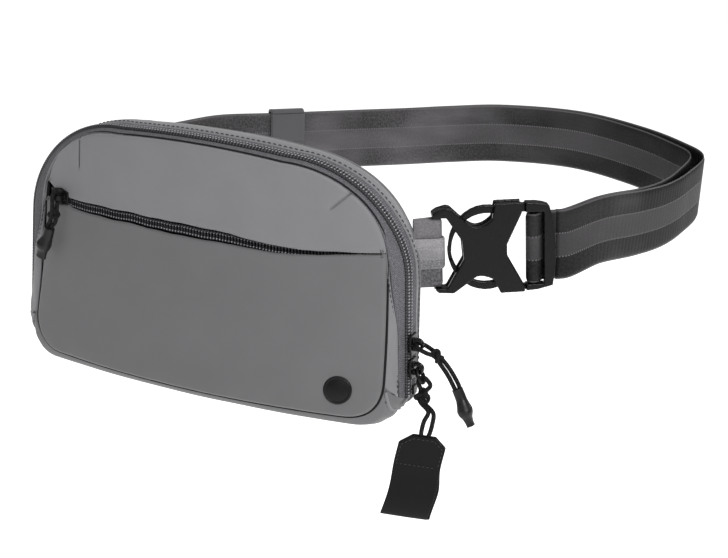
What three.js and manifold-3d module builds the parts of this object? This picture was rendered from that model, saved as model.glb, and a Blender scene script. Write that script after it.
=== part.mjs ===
// Waist bag: a padded back panel with a webbing belt, a clamshell front cover closed by a zip
// with two sliders, a flat zipped front pocket, and a quick-release buckle.
// Millimetres. +X is to the right seen from the front, +Y towards the wearer, +Z up.
// The origin is the middle of the back panel's outer face.
import * as THREE from 'three';
import { mergeVertices } from 'three/addons/utils/BufferGeometryUtils.js';
import Module from 'manifold-3d';

const wasm = await Module();
wasm.setup();

// ---- driving dimensions ----
const GAP = 0.3; // between pieces that touch
const FABRIC = 1.2;

// Outline of the bag at its front edge, along the zip, and at its back edge. The shoulder is the
// big upper corner, as an ellipse's two radii.
const FRONT_RIM = {
  halfWidth: 106, taper: 3.6, bottom: -65, baseRadius: 19.4, shoulder: [54, 46], top: 65, arch: 2.8,
};
const ZIP_RIM = {
  halfWidth: 112, taper: 2.96, bottom: -68.5, baseRadius: 11, shoulder: [62, 60], top: 67.8, arch: 2.4,
};
const BACK_RIM = {
  halfWidth: 111, taper: 3.6, bottom: -67, baseRadius: 11, shoulder: [58, 52], top: 64.6, arch: 2,
};
const LEFT_SWELL = 0.09; // the left side swells out along the zip, by this share of its half-width
const SWELL_LOST = 0.45; // the share of that swell lost by the top of the shoulder
const STEPS = { base: 5, baseCorner: 5, side: 7, shoulder: 9, arch: 4 };

const FRONT_Y = -40.3; // middle of the front panel
const FRONT_BEND = 361; // radius of the front panel, seen from above
const FRONT_CROWN = 5.8; // how far its top and bottom edges stand in front of its middle
const BACK_FLAT = 35; // half-width of the flat middle of the back
const BACK_WRAP = 8; // how far the back's side edges curve towards the wearer
const FOLD_Y = -4; // the fold at the foot of the cover

const TAPE_HALF = 9; // zip tape, from the middle of the zip to its sewn edge
const COIL = { near: 0.7, far: 3.7, low: 0.2, high: 2.2 };
const SLIDER = { length: 11, width: 9.4, wall: 1.2, bail: 1.9, bailWall: 1.5 };
const LOWER_SLIDER_Z = -41;
const UPPER_SLIDER_Z = -27.5;

const POCKET_ZIP_Z = 23;
const POCKET_PANEL = 1.5; // thickness of both front panels
const POCKET_SLIDER_X = -89;
const POCKET_ZIP_END_X = 90;

const BADGE = { x: 84.5, z: -51, radius: 7.6, dome: 2.6 };

const WEBBING = { width: 38, thick: 1.6 };
const CORD = 2.4;

// The buckle lies in a plane of its own: along the belt, up, and out from the wearer.
const BUCKLE_AT = new THREE.Vector3(119, 18, 14.5);
const BUCKLE_ALONG = new THREE.Vector3(0.878, 0.467, 0.1045).normalize();
const BUCKLE_OUT = new THREE.Vector3(0.469, -0.883, 0).normalize();
const BUCKLE = { mid: 3.8, tabBar: -5.5, tabBarR: 1.6, beltBar: 45.9, beltBarR: 2.1 };

const COLOURS = {
  fabric: [0x6c6c6e, 0.75, 0], fabricDark: [0x5c5c5f, 0.78, 0], lining: [0x8a8a8c, 0.85, 0],
  foam: [0x3c3c3e, 0.95, 0], tape: [0x55555a, 0.85, 0], coil: [0x222226, 0.45, 0],
  webbing: [0x85858a, 0.6, 0], plastic: [0x161617, 0.5, 0], metal: [0x1a1a1c, 0.35, 0.7],
  cord: [0x141416, 0.8, 0], rubber: [0x19191b, 0.6, 0],
};

const bag = new THREE.Group();

// ---- helpers ----
function addMesh(parent, name, geometry, colour) {
  const [color, roughness, metalness] = COLOURS[colour];
  const mesh = new THREE.Mesh(geometry, new THREE.MeshStandardMaterial({ color, roughness, metalness }));
  mesh.name = name;
  parent.add(mesh);
  return mesh;
}

// A closed body through cross-sections of equal, even point counts. A section's points go once
// round it, first along one face and then back along the other.
function loft(sections, closed = false) {
  const count = sections[0].length;
  const positions = sections.flat().flatMap((p) => [p.x, p.y, p.z]);
  const index = [];
  const quad = (a, b, c, d) => index.push(a, b, c, a, c, d);
  const rings = closed ? sections.length : sections.length - 1;
  for (let i = 0; i < rings; i++) {
    const here = i * count;
    const next = ((i + 1) % sections.length) * count;
    for (let j = 0; j < count; j++) {
      const k = (j + 1) % count;
      quad(here + j, here + k, next + k, next + j);
    }
  }
  if (!closed) {
    const last = (sections.length - 1) * count;
    for (let j = 0; j < count / 2 - 1; j++) {
      const far = count - 1 - j;
      quad(j, far, far - 1, j + 1);
      quad(last + j, last + j + 1, last + far - 1, last + far);
    }
  }
  const geometry = new THREE.BufferGeometry();
  geometry.setAttribute('position', new THREE.Float32BufferAttribute(positions, 3));
  geometry.setIndex(index);
  if (signedVolume(geometry) < 0) {
    for (let i = 0; i < index.length; i += 3) [index[i], index[i + 1]] = [index[i + 1], index[i]];
    geometry.setIndex(index);
  }
  return geometry;
}

function signedVolume(geometry) {
  const p = geometry.getAttribute('position');
  const corner = (i) => new THREE.Vector3().fromBufferAttribute(p, geometry.index.getX(i));
  let volume = 0;
  for (let i = 0; i < geometry.index.count; i += 3) {
    volume += corner(i).dot(corner(i + 1).cross(corner(i + 2))) / 6;
  }
  return volume;
}

function solid(geometry, matrix = new THREE.Matrix4()) {
  const bare = geometry.clone().applyMatrix4(matrix);
  bare.deleteAttribute('normal');
  bare.deleteAttribute('uv');
  const merged = mergeVertices(bare, 1e-4);
  return new wasm.Manifold(new wasm.Mesh({
    numProp: 3,
    vertProperties: merged.getAttribute('position').array,
    triVerts: Uint32Array.from(merged.index.array),
  }));
}

function geometryOf(manifold) {
  const mesh = manifold.getMesh();
  const geometry = new THREE.BufferGeometry();
  geometry.setAttribute('position', new THREE.Float32BufferAttribute(mesh.vertProperties, 3));
  geometry.setIndex(Array.from(mesh.triVerts));
  return geometry;
}

function box(low, high) {
  const size = high.map((v, i) => v - low[i]);
  const geometry = new THREE.BoxGeometry(...size);
  return geometry.translate(...low.map((v, i) => v + size[i] / 2));
}

function extrude(shape, depth, start = 0, curveSegments = 8) {
  const geometry = new THREE.ExtrudeGeometry(shape, { depth, bevelEnabled: false, curveSegments });
  return geometry.translate(0, 0, start);
}

function tube(points, radius, steps, sides = 8) {
  const path = new THREE.CatmullRomCurve3(points, false, 'centripetal');
  const section = new THREE.Shape();
  for (let i = 0; i < sides; i++) {
    const angle = (2 * Math.PI * i) / sides;
    const at = [radius * Math.cos(angle), radius * Math.sin(angle)];
    if (i) section.lineTo(...at);
    else section.moveTo(...at);
  }
  return new THREE.ExtrudeGeometry(section, { extrudePath: path, steps, bevelEnabled: false });
}

function blob(at, radii, detail = 1) {
  const geometry = mergeVertices(new THREE.IcosahedronGeometry(1, detail).deleteAttribute('uv')
    .deleteAttribute('normal'));
  return geometry.scale(...radii).translate(at.x, at.y, at.z);
}

const point = (x, y, z) => new THREE.Vector3(x, y, z);

// ---- the bag's walls ----
const frontBend = (x) => FRONT_BEND - Math.sqrt(FRONT_BEND ** 2 - x ** 2);
const frontY = (x, z) => FRONT_Y + frontBend(x) - FRONT_CROWN * (z / FRONT_RIM.top) ** 2;
const backY = (x) => BACK_WRAP * (Math.max(0, Math.abs(x) - BACK_FLAT) / (110 - BACK_FLAT)) ** 2;
// The zip leans: close to the back low on the sides, well forward over the top.
const zipY = (x, z) => -33 + 18.9 * (x / ZIP_RIM.halfWidth) ** 2 + 0.0746 * (70 - z);

function halfRim({ halfWidth, taper, bottom, baseRadius, shoulder: [rx, rz], top, arch }) {
  const at = (x, z) => new THREE.Vector2(x, z);
  const inner = halfWidth - taper - rx;
  const baseX = halfWidth - baseRadius;
  const baseZ = bottom + baseRadius;
  const shoulderZ = top - rz;
  const quarter = Math.PI / 2;
  const runs = [
    [new THREE.LineCurve(at(0, bottom), at(baseX, bottom)), STEPS.base],
    [new THREE.EllipseCurve(baseX, baseZ, baseRadius, baseRadius, -quarter, 0), STEPS.baseCorner],
    [new THREE.LineCurve(at(halfWidth, baseZ), at(halfWidth - taper, shoulderZ)), STEPS.side],
    [new THREE.EllipseCurve(inner, shoulderZ, rx, rz, 0, quarter), STEPS.shoulder],
    [new THREE.QuadraticBezierCurve(at(inner, top), at(inner / 2, top + arch), at(0, top + arch)),
      STEPS.arch],
  ];
  return runs.flatMap(([curve, steps], i) => curve.getPoints(steps).slice(i ? 1 : 0));
}

function fullRim(rim) {
  const half = halfRim(rim);
  const mirrored = half.slice(1, -1).reverse().map((p) => new THREE.Vector2(-p.x, p.y));
  return [...half, ...mirrored];
}

const rims = [FRONT_RIM, ZIP_RIM, BACK_RIM].map(fullRim);
const ZIP_FOOT = STEPS.base + STEPS.baseCorner; // the zip starts where the base corner ends
const SHOULDER_INDEX = ZIP_FOOT + STEPS.side;

const swell = ({ x, y: z }) => {
  const risen = THREE.MathUtils.smoothstep(z, ZIP_RIM.bottom, ZIP_RIM.bottom + ZIP_RIM.baseRadius);
  const lost = SWELL_LOST * THREE.MathUtils.smoothstep(z, 0, ZIP_RIM.top);
  return x < 0 ? 1 + LEFT_SWELL * risen * (1 - lost) : 1;
};

// One station of the wall: its three rim points, and its outward direction.
const stations = rims[1].map((_, i) => {
  const [front, zip, back] = rims.map((rim) => rim[i]);
  const count = rims[1].length;
  const along = rims[1][(i + 1) % count].clone().sub(rims[1][(i + count - 1) % count]).normalize();
  const onZip = Math.min(i, count - i) >= ZIP_FOOT;
  return {
    front: point(front.x, frontY(front.x, front.y), front.y),
    zip: point(zip.x * swell(zip), onZip ? zipY(zip.x, zip.y) : FOLD_Y, zip.y),
    back: point(back.x, backY(back.x), back.y),
    out: point(along.y, 0, -along.x),
  };
});
const stationsFrom = (first, last) => {
  const list = [];
  for (let i = first; i <= last; i++) list.push(stations[(i + stations.length) % stations.length]);
  return list;
};
const mirroredIndex = (i) => stations.length - i;

// A point on the wall at depth y, set in from its outer face. In front of the zip the wall
// swells out from the front edge and runs level into the zip.
function wall({ front, zip, back, out }, y, inset) {
  const cover = y < zip.y;
  const [a, b] = cover ? [front, zip] : [zip, back];
  const share = (y - a.y) / (b.y - a.y);
  const at = point(0, 0, 0).lerpVectors(a, b, cover ? 1 - (1 - share) ** 2 : share);
  at.y = y;
  return at.addScaledVector(out, -inset);
}

// A fabric strip between two depths. start and end give the depth at a station.
function strip(list, start, end, across = 1) {
  return loft(list.map((s) => {
    const step = (end(s) - start(s)) / across;
    const depths = Array.from({ length: across + 1 }, (_, j) => start(s) + step * j);
    return [...depths.map((y) => wall(s, y, 0)), ...depths.reverse().map((y) => wall(s, y, FABRIC))];
  }));
}

// A band along the zip, with its section given as pairs of distance from the zip and height.
function zipBand(list, side, section) {
  return loft(list.map((s) => section.map(([away, height]) => wall(s, s.zip.y + side * away, -height))));
}

const overZip = stationsFrom(ZIP_FOOT, mirroredIndex(ZIP_FOOT));
const sides = {
  right: stationsFrom(ZIP_FOOT, SHOULDER_INDEX),
  left: stationsFrom(mirroredIndex(SHOULDER_INDEX), mirroredIndex(ZIP_FOOT)),
  top: stationsFrom(SHOULDER_INDEX, mirroredIndex(SHOULDER_INDEX)),
};
const seamFront = (s) => s.front.y + POCKET_PANEL + 2 * GAP;

// Neighbouring strips keep a gap, so each is pulled in a little at both ends.
function eased(list) {
  const nudge = (s, towards) => {
    const share = (GAP / 2) / s.zip.distanceTo(towards.zip);
    const moved = {};
    for (const key of ['front', 'zip', 'back', 'out']) moved[key] = s[key].clone().lerp(towards[key], share);
    return moved;
  };
  const middle = list.slice(1, -1);
  return [nudge(list[0], list[1]), ...middle, nudge(list.at(-1), list.at(-2))];
}

for (const [name, list] of Object.entries(sides)) {
  const run = eased(list);
  addMesh(bag, `rear_gusset_${name}`,
    strip(run, (s) => s.zip.y + TAPE_HALF + GAP, (s) => s.back.y), 'fabric');
  addMesh(bag, `cover_gusset_${name}`,
    strip(run, seamFront, (s) => s.zip.y - TAPE_HALF - GAP, 2), 'fabric');
}

// The base: one strip under the cover, and the strip behind the fold that stays with the back.
const baseRuns = {
  cover_base: [-STEPS.base, STEPS.base],
  cover_base_corner_right: [STEPS.base, ZIP_FOOT],
  cover_base_corner_left: [-ZIP_FOOT, -STEPS.base],
};
for (const [name, [first, last]] of Object.entries(baseRuns)) {
  addMesh(bag, name, strip(eased(stationsFrom(first, last)), seamFront, () => FOLD_Y - GAP, 4), 'fabric');
}
addMesh(bag, 'rear_base_strip',
  strip(eased(stationsFrom(-ZIP_FOOT, ZIP_FOOT)), () => FOLD_Y + GAP, (s) => s.back.y), 'fabric');

// ---- main zip ----
const zipRun = eased(overZip);
const tapeSection = [[COIL.near + 0.2, -0.1], [TAPE_HALF, -0.1], [TAPE_HALF, -0.9], [COIL.near + 0.2, -0.9]];
const coilMid = (COIL.near + COIL.far) / 2;
const coilSection = [
  [COIL.near, 1.2], [coilMid - 0.8, COIL.high], [coilMid + 0.8, COIL.high],
  [COIL.far, 1.2], [coilMid + 0.8, COIL.low], [coilMid - 0.8, COIL.low],
];
for (const [name, side] of [['rear', 1], ['cover', -1]]) {
  addMesh(bag, `zip_tape_${name}`, zipBand(zipRun, side, tapeSection), 'tape');
  addMesh(bag, `zip_coil_${name}`, zipBand(zipRun, side, coilSection), 'coil');
}

// ---- back panel, pad and inner pocket ----
// Panels are lofted up from their foot. halfWidthAt is the outline's half-width at a height.
function halfWidthAt({ halfWidth, taper, bottom, baseRadius, shoulder: [rx, rz], top, arch }, z) {
  const inner = halfWidth - taper - rx;
  const shoulderZ = top - rz;
  if (z > top) return inner * Math.sqrt(Math.max(0, 1 - (z - top) / arch));
  if (z > shoulderZ) return inner + rx * Math.sqrt(1 - ((z - shoulderZ) / rz) ** 2);
  const baseZ = bottom + baseRadius;
  if (z > baseZ) return halfWidth - (taper * (z - baseZ)) / (shoulderZ - baseZ);
  return halfWidth - baseRadius + Math.sqrt(Math.max(0, baseRadius ** 2 - (baseZ - z) ** 2));
}

// Heights from the foot to the top, closer together round the corners.
function heights(rim, low, high, inset, rows) {
  const bottom = Math.max(low, rim.bottom + inset);
  const top = Math.min(high, rim.top + rim.arch - inset - 0.2);
  return Array.from({ length: rows + 1 }, (_, i) => {
    const even = i / rows;
    const eased01 = (1 - Math.cos(Math.PI * even)) / 2;
    return bottom + (top - bottom) * (0.35 * even + 0.65 * eased01);
  });
}

function panel({ rim, low, high, inset = 0, rows = 10, columns = 12, face, thick, shift = () => 0 }) {
  const zs = heights(rim, low, high, inset, rows);
  const inner = {
    ...rim, halfWidth: rim.halfWidth - inset, bottom: rim.bottom + inset, top: rim.top - inset,
  };
  return loft(zs.map((z0) => {
    const half = halfWidthAt(inner, z0);
    const row = Array.from({ length: columns + 1 }, (_, j) => half * ((2 * j) / columns - 1));
    const at = (x, behind) => {
      const z = z0 + shift(x, z0);
      return point(x, face(x, z) + behind, z);
    };
    return [...row.map((x) => at(x, 0)), ...row.reverse().map((x) => at(x, thick))];
  }));
}

const backDepth = { skin: 1.4, pad: 3.6 };
const backBase = { rim: BACK_RIM, low: -Infinity, high: Infinity, inset: FABRIC + GAP };
addMesh(bag, 'back_panel', panel({
  ...backBase, face: (x) => backY(x) - backDepth.skin, thick: backDepth.skin, rows: 9, columns: 16,
}), 'fabricDark');
const behindSkin = backDepth.skin + 2 * GAP;
addMesh(bag, 'back_pad', panel({
  ...backBase, inset: 4, face: (x) => backY(x) - behindSkin - GAP - backDepth.pad, thick: backDepth.pad,
  rows: 9, columns: 16,
}), 'foam');
addMesh(bag, 'inner_pocket', panel({
  ...backBase, inset: 14, high: 10, face: (x) => backY(x) - behindSkin - backDepth.pad - 4 * GAP - 0.8,
  thick: 0.8, rows: 5, columns: 16,
}), 'lining');

// ---- front panels and front pocket ----
// The pocket's mouth is tall on the left and in the middle and closes towards the right.
const mouth = (x) => 1.2 + 2.6 * THREE.MathUtils.smoothstep(-x, -FRONT_RIM.halfWidth, 10);
const fade = (z, from, to) => 1 - THREE.MathUtils.smoothstep(Math.abs(z - from), 0, Math.abs(to - from));
addMesh(bag, 'yoke', panel({
  rim: FRONT_RIM, low: POCKET_ZIP_Z + 1, high: Infinity, face: frontY, thick: POCKET_PANEL, rows: 10,
}), 'fabric');
addMesh(bag, 'pocket_panel', panel({
  rim: FRONT_RIM, low: -Infinity, high: POCKET_ZIP_Z, face: frontY, thick: POCKET_PANEL, rows: 9,
  shift: (x, z) => -mouth(x) * fade(z, POCKET_ZIP_Z, -10),
}), 'fabricDark');

const layer = (depth) => (x, z) => frontY(x, z) + depth;
const zipDepth = POCKET_PANEL + GAP; // coils lie right behind the panels
const tapeDepth = zipDepth + 1.6 + GAP;
const backingDepth = tapeDepth + 0.8 + GAP;
addMesh(bag, 'pocket_backing', panel({
  rim: FRONT_RIM, low: -Infinity, high: Infinity, inset: FABRIC + GAP + 0.8, face: layer(backingDepth),
  thick: 1, rows: 11,
}), 'lining');

function pocketBand(low, high, depth, thick, from = POCKET_SLIDER_X - 10, to = POCKET_ZIP_END_X) {
  const columns = 16;
  return loft(Array.from({ length: columns + 1 }, (_, i) => {
    const x = from + ((to - from) * i) / columns;
    const at = (z, behind) => point(x, frontY(x, z) + depth + behind, z);
    return [at(low, 0), at(high, 0), at(high, thick), at(low, thick)];
  }));
}
for (const [name, side] of [['upper', 1], ['lower', -1]]) {
  const span = (near, far) => [near, far].map((d) => POCKET_ZIP_Z + side * d).sort((a, b) => a - b);
  addMesh(bag, `pocket_tape_${name}`, pocketBand(...span(0.8, 9), tapeDepth, 0.8), 'tape');
  addMesh(bag, `pocket_coil_${name}`, pocketBand(...span(0.6, 2.8), zipDepth, 1.6), 'coil');
}

// ---- badge on the pocket ----
function framed(parent, basis, at) {
  const group = new THREE.Group();
  group.applyMatrix4(basis);
  group.position.copy(at);
  parent.add(group);
  return group;
}

// A frame whose X faces out from the front panel and whose Z runs up it.
function frontFrame(x, z) {
  const out = point(x / Math.sqrt(FRONT_BEND ** 2 - x ** 2), -1, (-2 * FRONT_CROWN * z) / FRONT_RIM.top ** 2);
  out.normalize();
  const across = point(0, 0, 1).cross(out).normalize();
  const basis = new THREE.Matrix4().makeBasis(out, across, out.clone().cross(across));
  return framed(bag, basis, point(x, frontY(x, z), z));
}

const capProfile = [[0, GAP], [BADGE.radius, GAP], [BADGE.radius, 1.1], [BADGE.radius * 0.9, 1.8],
  [BADGE.radius * 0.5, BADGE.dome], [0, BADGE.dome + 0.2]].map(([r, h]) => new THREE.Vector2(r, h));
addMesh(frontFrame(BADGE.x, BADGE.z), 'badge',
  new THREE.LatheGeometry(capProfile, 20).rotateZ(-Math.PI / 2), 'plastic');

// ---- zip sliders ----
const shapeOf = (points) => new THREE.Shape(points.map(([x, y]) => new THREE.Vector2(x, y)));

// Slider in its own frame: X out from the zip, Y across it, Z along it towards the closed end.
// A plate over the zip with a bail on top, a thin post between the zip's two rows and, where
// underPlate says so, a second plate under the zip.
function sliderGeometry(top = COIL.high + GAP, under = 2, underPlate = true) {
  const { length, width, wall: plate, bail, bailWall } = SLIDER;
  const half = width / 2;
  const end = length / 2;
  const outline = shapeOf([[-half, 0], [-half * 0.7, -end], [half * 0.7, -end], [half, 0],
    [half * 0.8, end], [-half * 0.8, end]]);
  const stand = new THREE.Matrix4().makeBasis(point(0, 1, 0), point(0, 0, 1), point(1, 0, 0));
  const bailOuter = bail + bailWall;
  const arch = new THREE.Shape();
  const rise = bail + 0.5;
  arch.moveTo(-bailOuter, 0).lineTo(-bailOuter, rise).absarc(0, rise, bailOuter, Math.PI, 0, true)
    .lineTo(bailOuter, 0);
  arch.holes.push(new THREE.Path().absarc(0, rise, bail, 0, 2 * Math.PI, false));
  const archUp = new THREE.Matrix4().makeBasis(point(0, 0, 1), point(1, 0, 0), point(0, 1, 0));
  const parts = [
    solid(extrude(outline, plate, top), stand),
    solid(box([-under - 0.1, -0.4, 1], [top + 0.1, 0.4, end - 0.5])),
    solid(extrude(arch, 2.4, -1.2, 6).translate(0, top + plate - 0.2, 0), archUp),
  ];
  if (underPlate) parts.push(solid(extrude(outline, plate, -under - plate), stand));
  return geometryOf(parts.reduce((a, b) => a.add(b)));
}
const bailHeight = (top) => top + SLIDER.wall - 0.2 + SLIDER.bail + 0.5;

// The straight right leg of the zip, where both main sliders run.
const legFoot = stations[ZIP_FOOT].zip;
const legTop = stations[SHOULDER_INDEX].zip;
const legUp = legTop.clone().sub(legFoot).normalize();
const legOut = stations[ZIP_FOOT + 2].out.clone();
legOut.addScaledVector(legUp, -legOut.dot(legUp)).normalize();
const legAcross = legUp.clone().cross(legOut);
const legBasis = new THREE.Matrix4().makeBasis(legOut, legAcross, legUp);
const onLeg = (z) => legFoot.clone().lerp(legTop, (z - legFoot.z) / (legTop.z - legFoot.z));

const lowerFrame = framed(bag, legBasis, onLeg(LOWER_SLIDER_Z));
const upperFrame = framed(bag, legBasis, onLeg(UPPER_SLIDER_Z));
addMesh(lowerFrame, 'lower_slider', sliderGeometry(), 'metal');
addMesh(upperFrame, 'upper_slider', sliderGeometry(), 'metal');
const mainBail = bailHeight(COIL.high + GAP);

// A wire stop closes the foot of the zip on the right; it is fixed to the rear row.
addMesh(framed(bag, legBasis, onLeg(-54)), 'zip_end_stop',
  box([COIL.high + GAP, 0.3, -2.5], [COIL.high + GAP + 1.2, 4.4, 2.5]), 'metal');

// The pocket slider runs round the front panel's bend, so its frame faces out from the bend.
const pocketTurn = Math.asin(POCKET_SLIDER_X / FRONT_BEND);
const pocketOut = point(Math.sin(pocketTurn), -Math.cos(pocketTurn), 0);
const pocketUp = point(-Math.cos(pocketTurn), -Math.sin(pocketTurn), 0);
const pocketBasis = new THREE.Matrix4().makeBasis(pocketOut, pocketUp.clone().cross(pocketOut), pocketUp);
const pocketFrame = framed(bag, pocketBasis,
  point(POCKET_SLIDER_X, frontY(POCKET_SLIDER_X, POCKET_ZIP_Z), POCKET_ZIP_Z));
const pocketTop = 2 * GAP;
addMesh(pocketFrame, 'pocket_slider', sliderGeometry(pocketTop, zipDepth + 1.4, false), 'metal');

// ---- pulls ----
const along = (from, to, share) => from.clone().lerp(to, share);
const inFrame = (frame, x, y, z) => {
  frame.updateMatrixWorld(true);
  return frame.localToWorld(point(x, y, z));
};

// An oval wire ring that hangs from the middle of its top. Local: Y across, Z up.
function ovalRing(long, across, wire) {
  const count = 18;
  return loft(Array.from({ length: count }, (_, i) => {
    const angle = (2 * Math.PI * i) / count;
    const away = point(0, Math.sin(angle), Math.cos(angle));
    const centre = point(0, (across / 2) * away.y, (long / 2) * (away.z - 1));
    return Array.from({ length: 6 }, (_, j) => {
      const turn = (Math.PI * j) / 3;
      return centre.clone().addScaledVector(away, wire * Math.cos(turn))
        .add(point(wire * Math.sin(turn), 0, 0));
    });
  }), true);
}

const cordLoop = (frame, points) => cordTube(points.map(([x, y, z]) => inFrame(frame, x, y, z)), 16);
const cordTube = (points, steps, radius = CORD / 2) => tube(points, radius, steps);
const KNOT = { x: 4.6, y: 4, z: 4 };

// Two strands of cord side by side, as one solid from one knot to the next piece.
function strands(from, to, across) {
  const down = to.clone().sub(from).normalize();
  const thick = across.clone().cross(down).normalize();
  return loft([from, to].map((at) => Array.from({ length: 8 }, (_, j) => {
    const turn = (2 * Math.PI * (j + 0.5)) / 8;
    return at.clone().addScaledVector(across, CORD * Math.cos(turn))
      .addScaledVector(thick, (CORD / 2) * Math.sin(turn));
  })));
}

// A shrink tube over the ends of a cord, fattest where it covers the end knot.
function shrinkTube(from, to, narrow, wide) {
  const length = from.distanceTo(to);
  const profile = [[0, 0], [narrow, 0], [narrow * 0.95, 0.36], [wide, 0.54], [wide, 0.66],
    [narrow * 0.95, 0.84], [narrow, 1], [0, 1]].map(([r, t]) => new THREE.Vector2(r, t * length));
  const turn = new THREE.Quaternion().setFromUnitVectors(point(0, 1, 0), to.clone().sub(from).normalize());
  return new THREE.LatheGeometry(profile, 10).applyQuaternion(turn).translate(from.x, from.y, from.z);
}

// Lower slider: wire ring, cord loop, knot, two strands and a folded rubber tab.
const RING = { long: 8, across: 5.6, wire: 0.8, tilt: 0.42 };
const ringFrame = framed(bag, legBasis, inFrame(lowerFrame, mainBail, 0, 0));
ringFrame.rotateY(-RING.tilt);
addMesh(ringFrame, 'lower_ring', ovalRing(RING.long, RING.across, RING.wire), 'metal');
const ringLoop = [[1.5, 0, -11.2], [2.6, 0, -9.4], [2.6, 0, -7.4], [1.5, 0, -5.7], [-1.5, 0, -5.7],
  [-2.6, 0, -7.4], [-2.6, 0, -9.4], [-1.5, 0, -11.2]];
addMesh(bag, 'lower_loop', cordLoop(ringFrame, ringLoop), 'cord');
const lowerKnot = inFrame(ringFrame, 0, 0, -11.5 - KNOT.z);
addMesh(bag, 'lower_knot', blob(lowerKnot, [KNOT.x, KNOT.y, KNOT.z]), 'cord');

const TAB = { top: [125, -8, -76.4], down: [-0.17, 0, -1], facing: [0.3, -0.954, 0] };
const TAB_SIZE = { width: 25, length: 48, thick: 3.6, chamfer: [7.5, 5.5], notch: [7, 4, 2.9] };
const tabDown = point(...TAB.down).normalize();
const tabOut = point(...TAB.facing);
tabOut.addScaledVector(tabDown, -tabOut.dot(tabDown)).normalize();
const tabAcross = tabDown.clone().cross(tabOut).normalize();
const tabBasis = new THREE.Matrix4().makeBasis(tabAcross, tabOut, tabAcross.clone().cross(tabOut));
const tabFrame = framed(bag, tabBasis, point(...TAB.top));
function tabGeometry() {
  const { width, length, thick, chamfer, notch } = TAB_SIZE;
  const half = width / 2;
  const outline = shapeOf([[-half + chamfer[0], 0], [-half, -chamfer[1]], [-half, -length], [half, -length],
    [half, -chamfer[1]], [half - chamfer[0], 0]]);
  const upright = new THREE.Matrix4().makeRotationX(Math.PI / 2);
  const cut = solid(box([-notch[0] / 2, -notch[2] / 2, -notch[1]], [notch[0] / 2, notch[2] / 2, 1]));
  return geometryOf(solid(extrude(outline, thick, -thick / 2), upright).subtract(cut));
}
addMesh(tabFrame, 'pull_tab', tabGeometry(), 'rubber');
const tabTop = point(...TAB.top);
const strandTop = along(lowerKnot, tabTop, (KNOT.z + GAP) / lowerKnot.distanceTo(tabTop));
const nearKnot = (side) => strandTop.clone().addScaledVector(tabAcross, side * 1.5);
const throughTab = [[-1.9, 8], [-1.9, 1], [-1, -1.8], [1, -1.8], [1.9, 1], [1.9, 8]];
addMesh(bag, 'lower_cord', cordTube([nearKnot(-1), ...throughTab.map(([x, z]) => inFrame(tabFrame, x, 0, z)),
  nearKnot(1)], 20), 'cord');

// Upper slider: a cord loop straight through the bail, a knot, two strands and a shrink tube.
const UPPER_PULL = { lean: 1.17, knot: 12, tubeTop: [140, -6, -47.2], tubeEnd: [149.4, -6, -65.7] };
const upperFrameOut = framed(bag, legBasis, inFrame(upperFrame, mainBail, 0, 0));
upperFrameOut.rotateY(-UPPER_PULL.lean);
const bailLoop = [[0, 1.5, -8.1], [0, 3.4, -6], [0, 3.4, -2.4], [0, 1.8, 0.2], [0, -1.8, 0.2],
  [0, -3.4, -2.4], [0, -3.4, -6], [0, -1.5, -8.1]];
addMesh(bag, 'upper_loop', cordLoop(upperFrameOut, bailLoop), 'cord');
const upperKnot = inFrame(upperFrameOut, 0, 0, -UPPER_PULL.knot);
addMesh(bag, 'upper_knot', blob(upperKnot, [3.6, 4.4, 3.6]), 'cord');
const upperTube = [point(...UPPER_PULL.tubeTop), point(...UPPER_PULL.tubeEnd)];
const beyond = (from, to, by) => from.clone().addScaledVector(to.clone().sub(from).normalize(), by);
addMesh(bag, 'upper_strands', strands(beyond(upperKnot, upperTube[0], 4),
  beyond(upperTube[0], upperKnot, GAP), point(0, 1, 0)), 'cord');
addMesh(bag, 'upper_tube', shrinkTube(...upperTube, 2.9, 4.4), 'rubber');

// Pocket slider: the same pull, hanging in front of the pocket.
const pocketPivot = inFrame(pocketFrame, bailHeight(pocketTop), 0, 0);
const byPocket = (x, y, z) => pocketPivot.clone().add(point(x, y, z));
const POCKET_PULL = { knot: [-1, -2, -9], tubeTop: [-3.6, -1.6, -17.6], tubeEnd: [-9.6, -1, -35.2] };
const pocketLoop = [[0, -0.6, -4.6], [0, 0.1, -2.6], [0, 0.2, 0], [0, 0, 2.2], [0, -1.8, 3.6],
  [0, -4.4, 2.6], [0, -5, 0], [0, -4.8, -2.6], [0, -3.6, -4.7]];
addMesh(bag, 'pocket_loop', cordTube(pocketLoop.map((p) => byPocket(...p)), 16), 'cord');
const pocketKnot = byPocket(...POCKET_PULL.knot);
addMesh(bag, 'pocket_knot', blob(pocketKnot, [3.6, 3.2, 3.2]), 'cord');
const pocketTube = [byPocket(...POCKET_PULL.tubeTop), byPocket(...POCKET_PULL.tubeEnd)];
addMesh(bag, 'pocket_strands', strands(beyond(pocketKnot, pocketTube[0], 3.6),
  beyond(pocketTube[0], pocketKnot, 3 * GAP), point(1, 0, 0)), 'cord');
addMesh(bag, 'pocket_tube', shrinkTube(...pocketTube, 2.9, 4), 'rubber');

// ---- buckle ----
// Its frame: X along the belt, Y up, Z out from the wearer.
const buckleUp = BUCKLE_OUT.clone().cross(BUCKLE_ALONG).normalize();
const buckleFrame = framed(bag, new THREE.Matrix4().makeBasis(BUCKLE_ALONG, buckleUp, BUCKLE_OUT), BUCKLE_AT);
const FEMALE = { front: 3.2, rear: 2.5, slot: 2 };
const RAIL = { top: [23.6, 28.4], foot: [-18.9, -15.7] };

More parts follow.
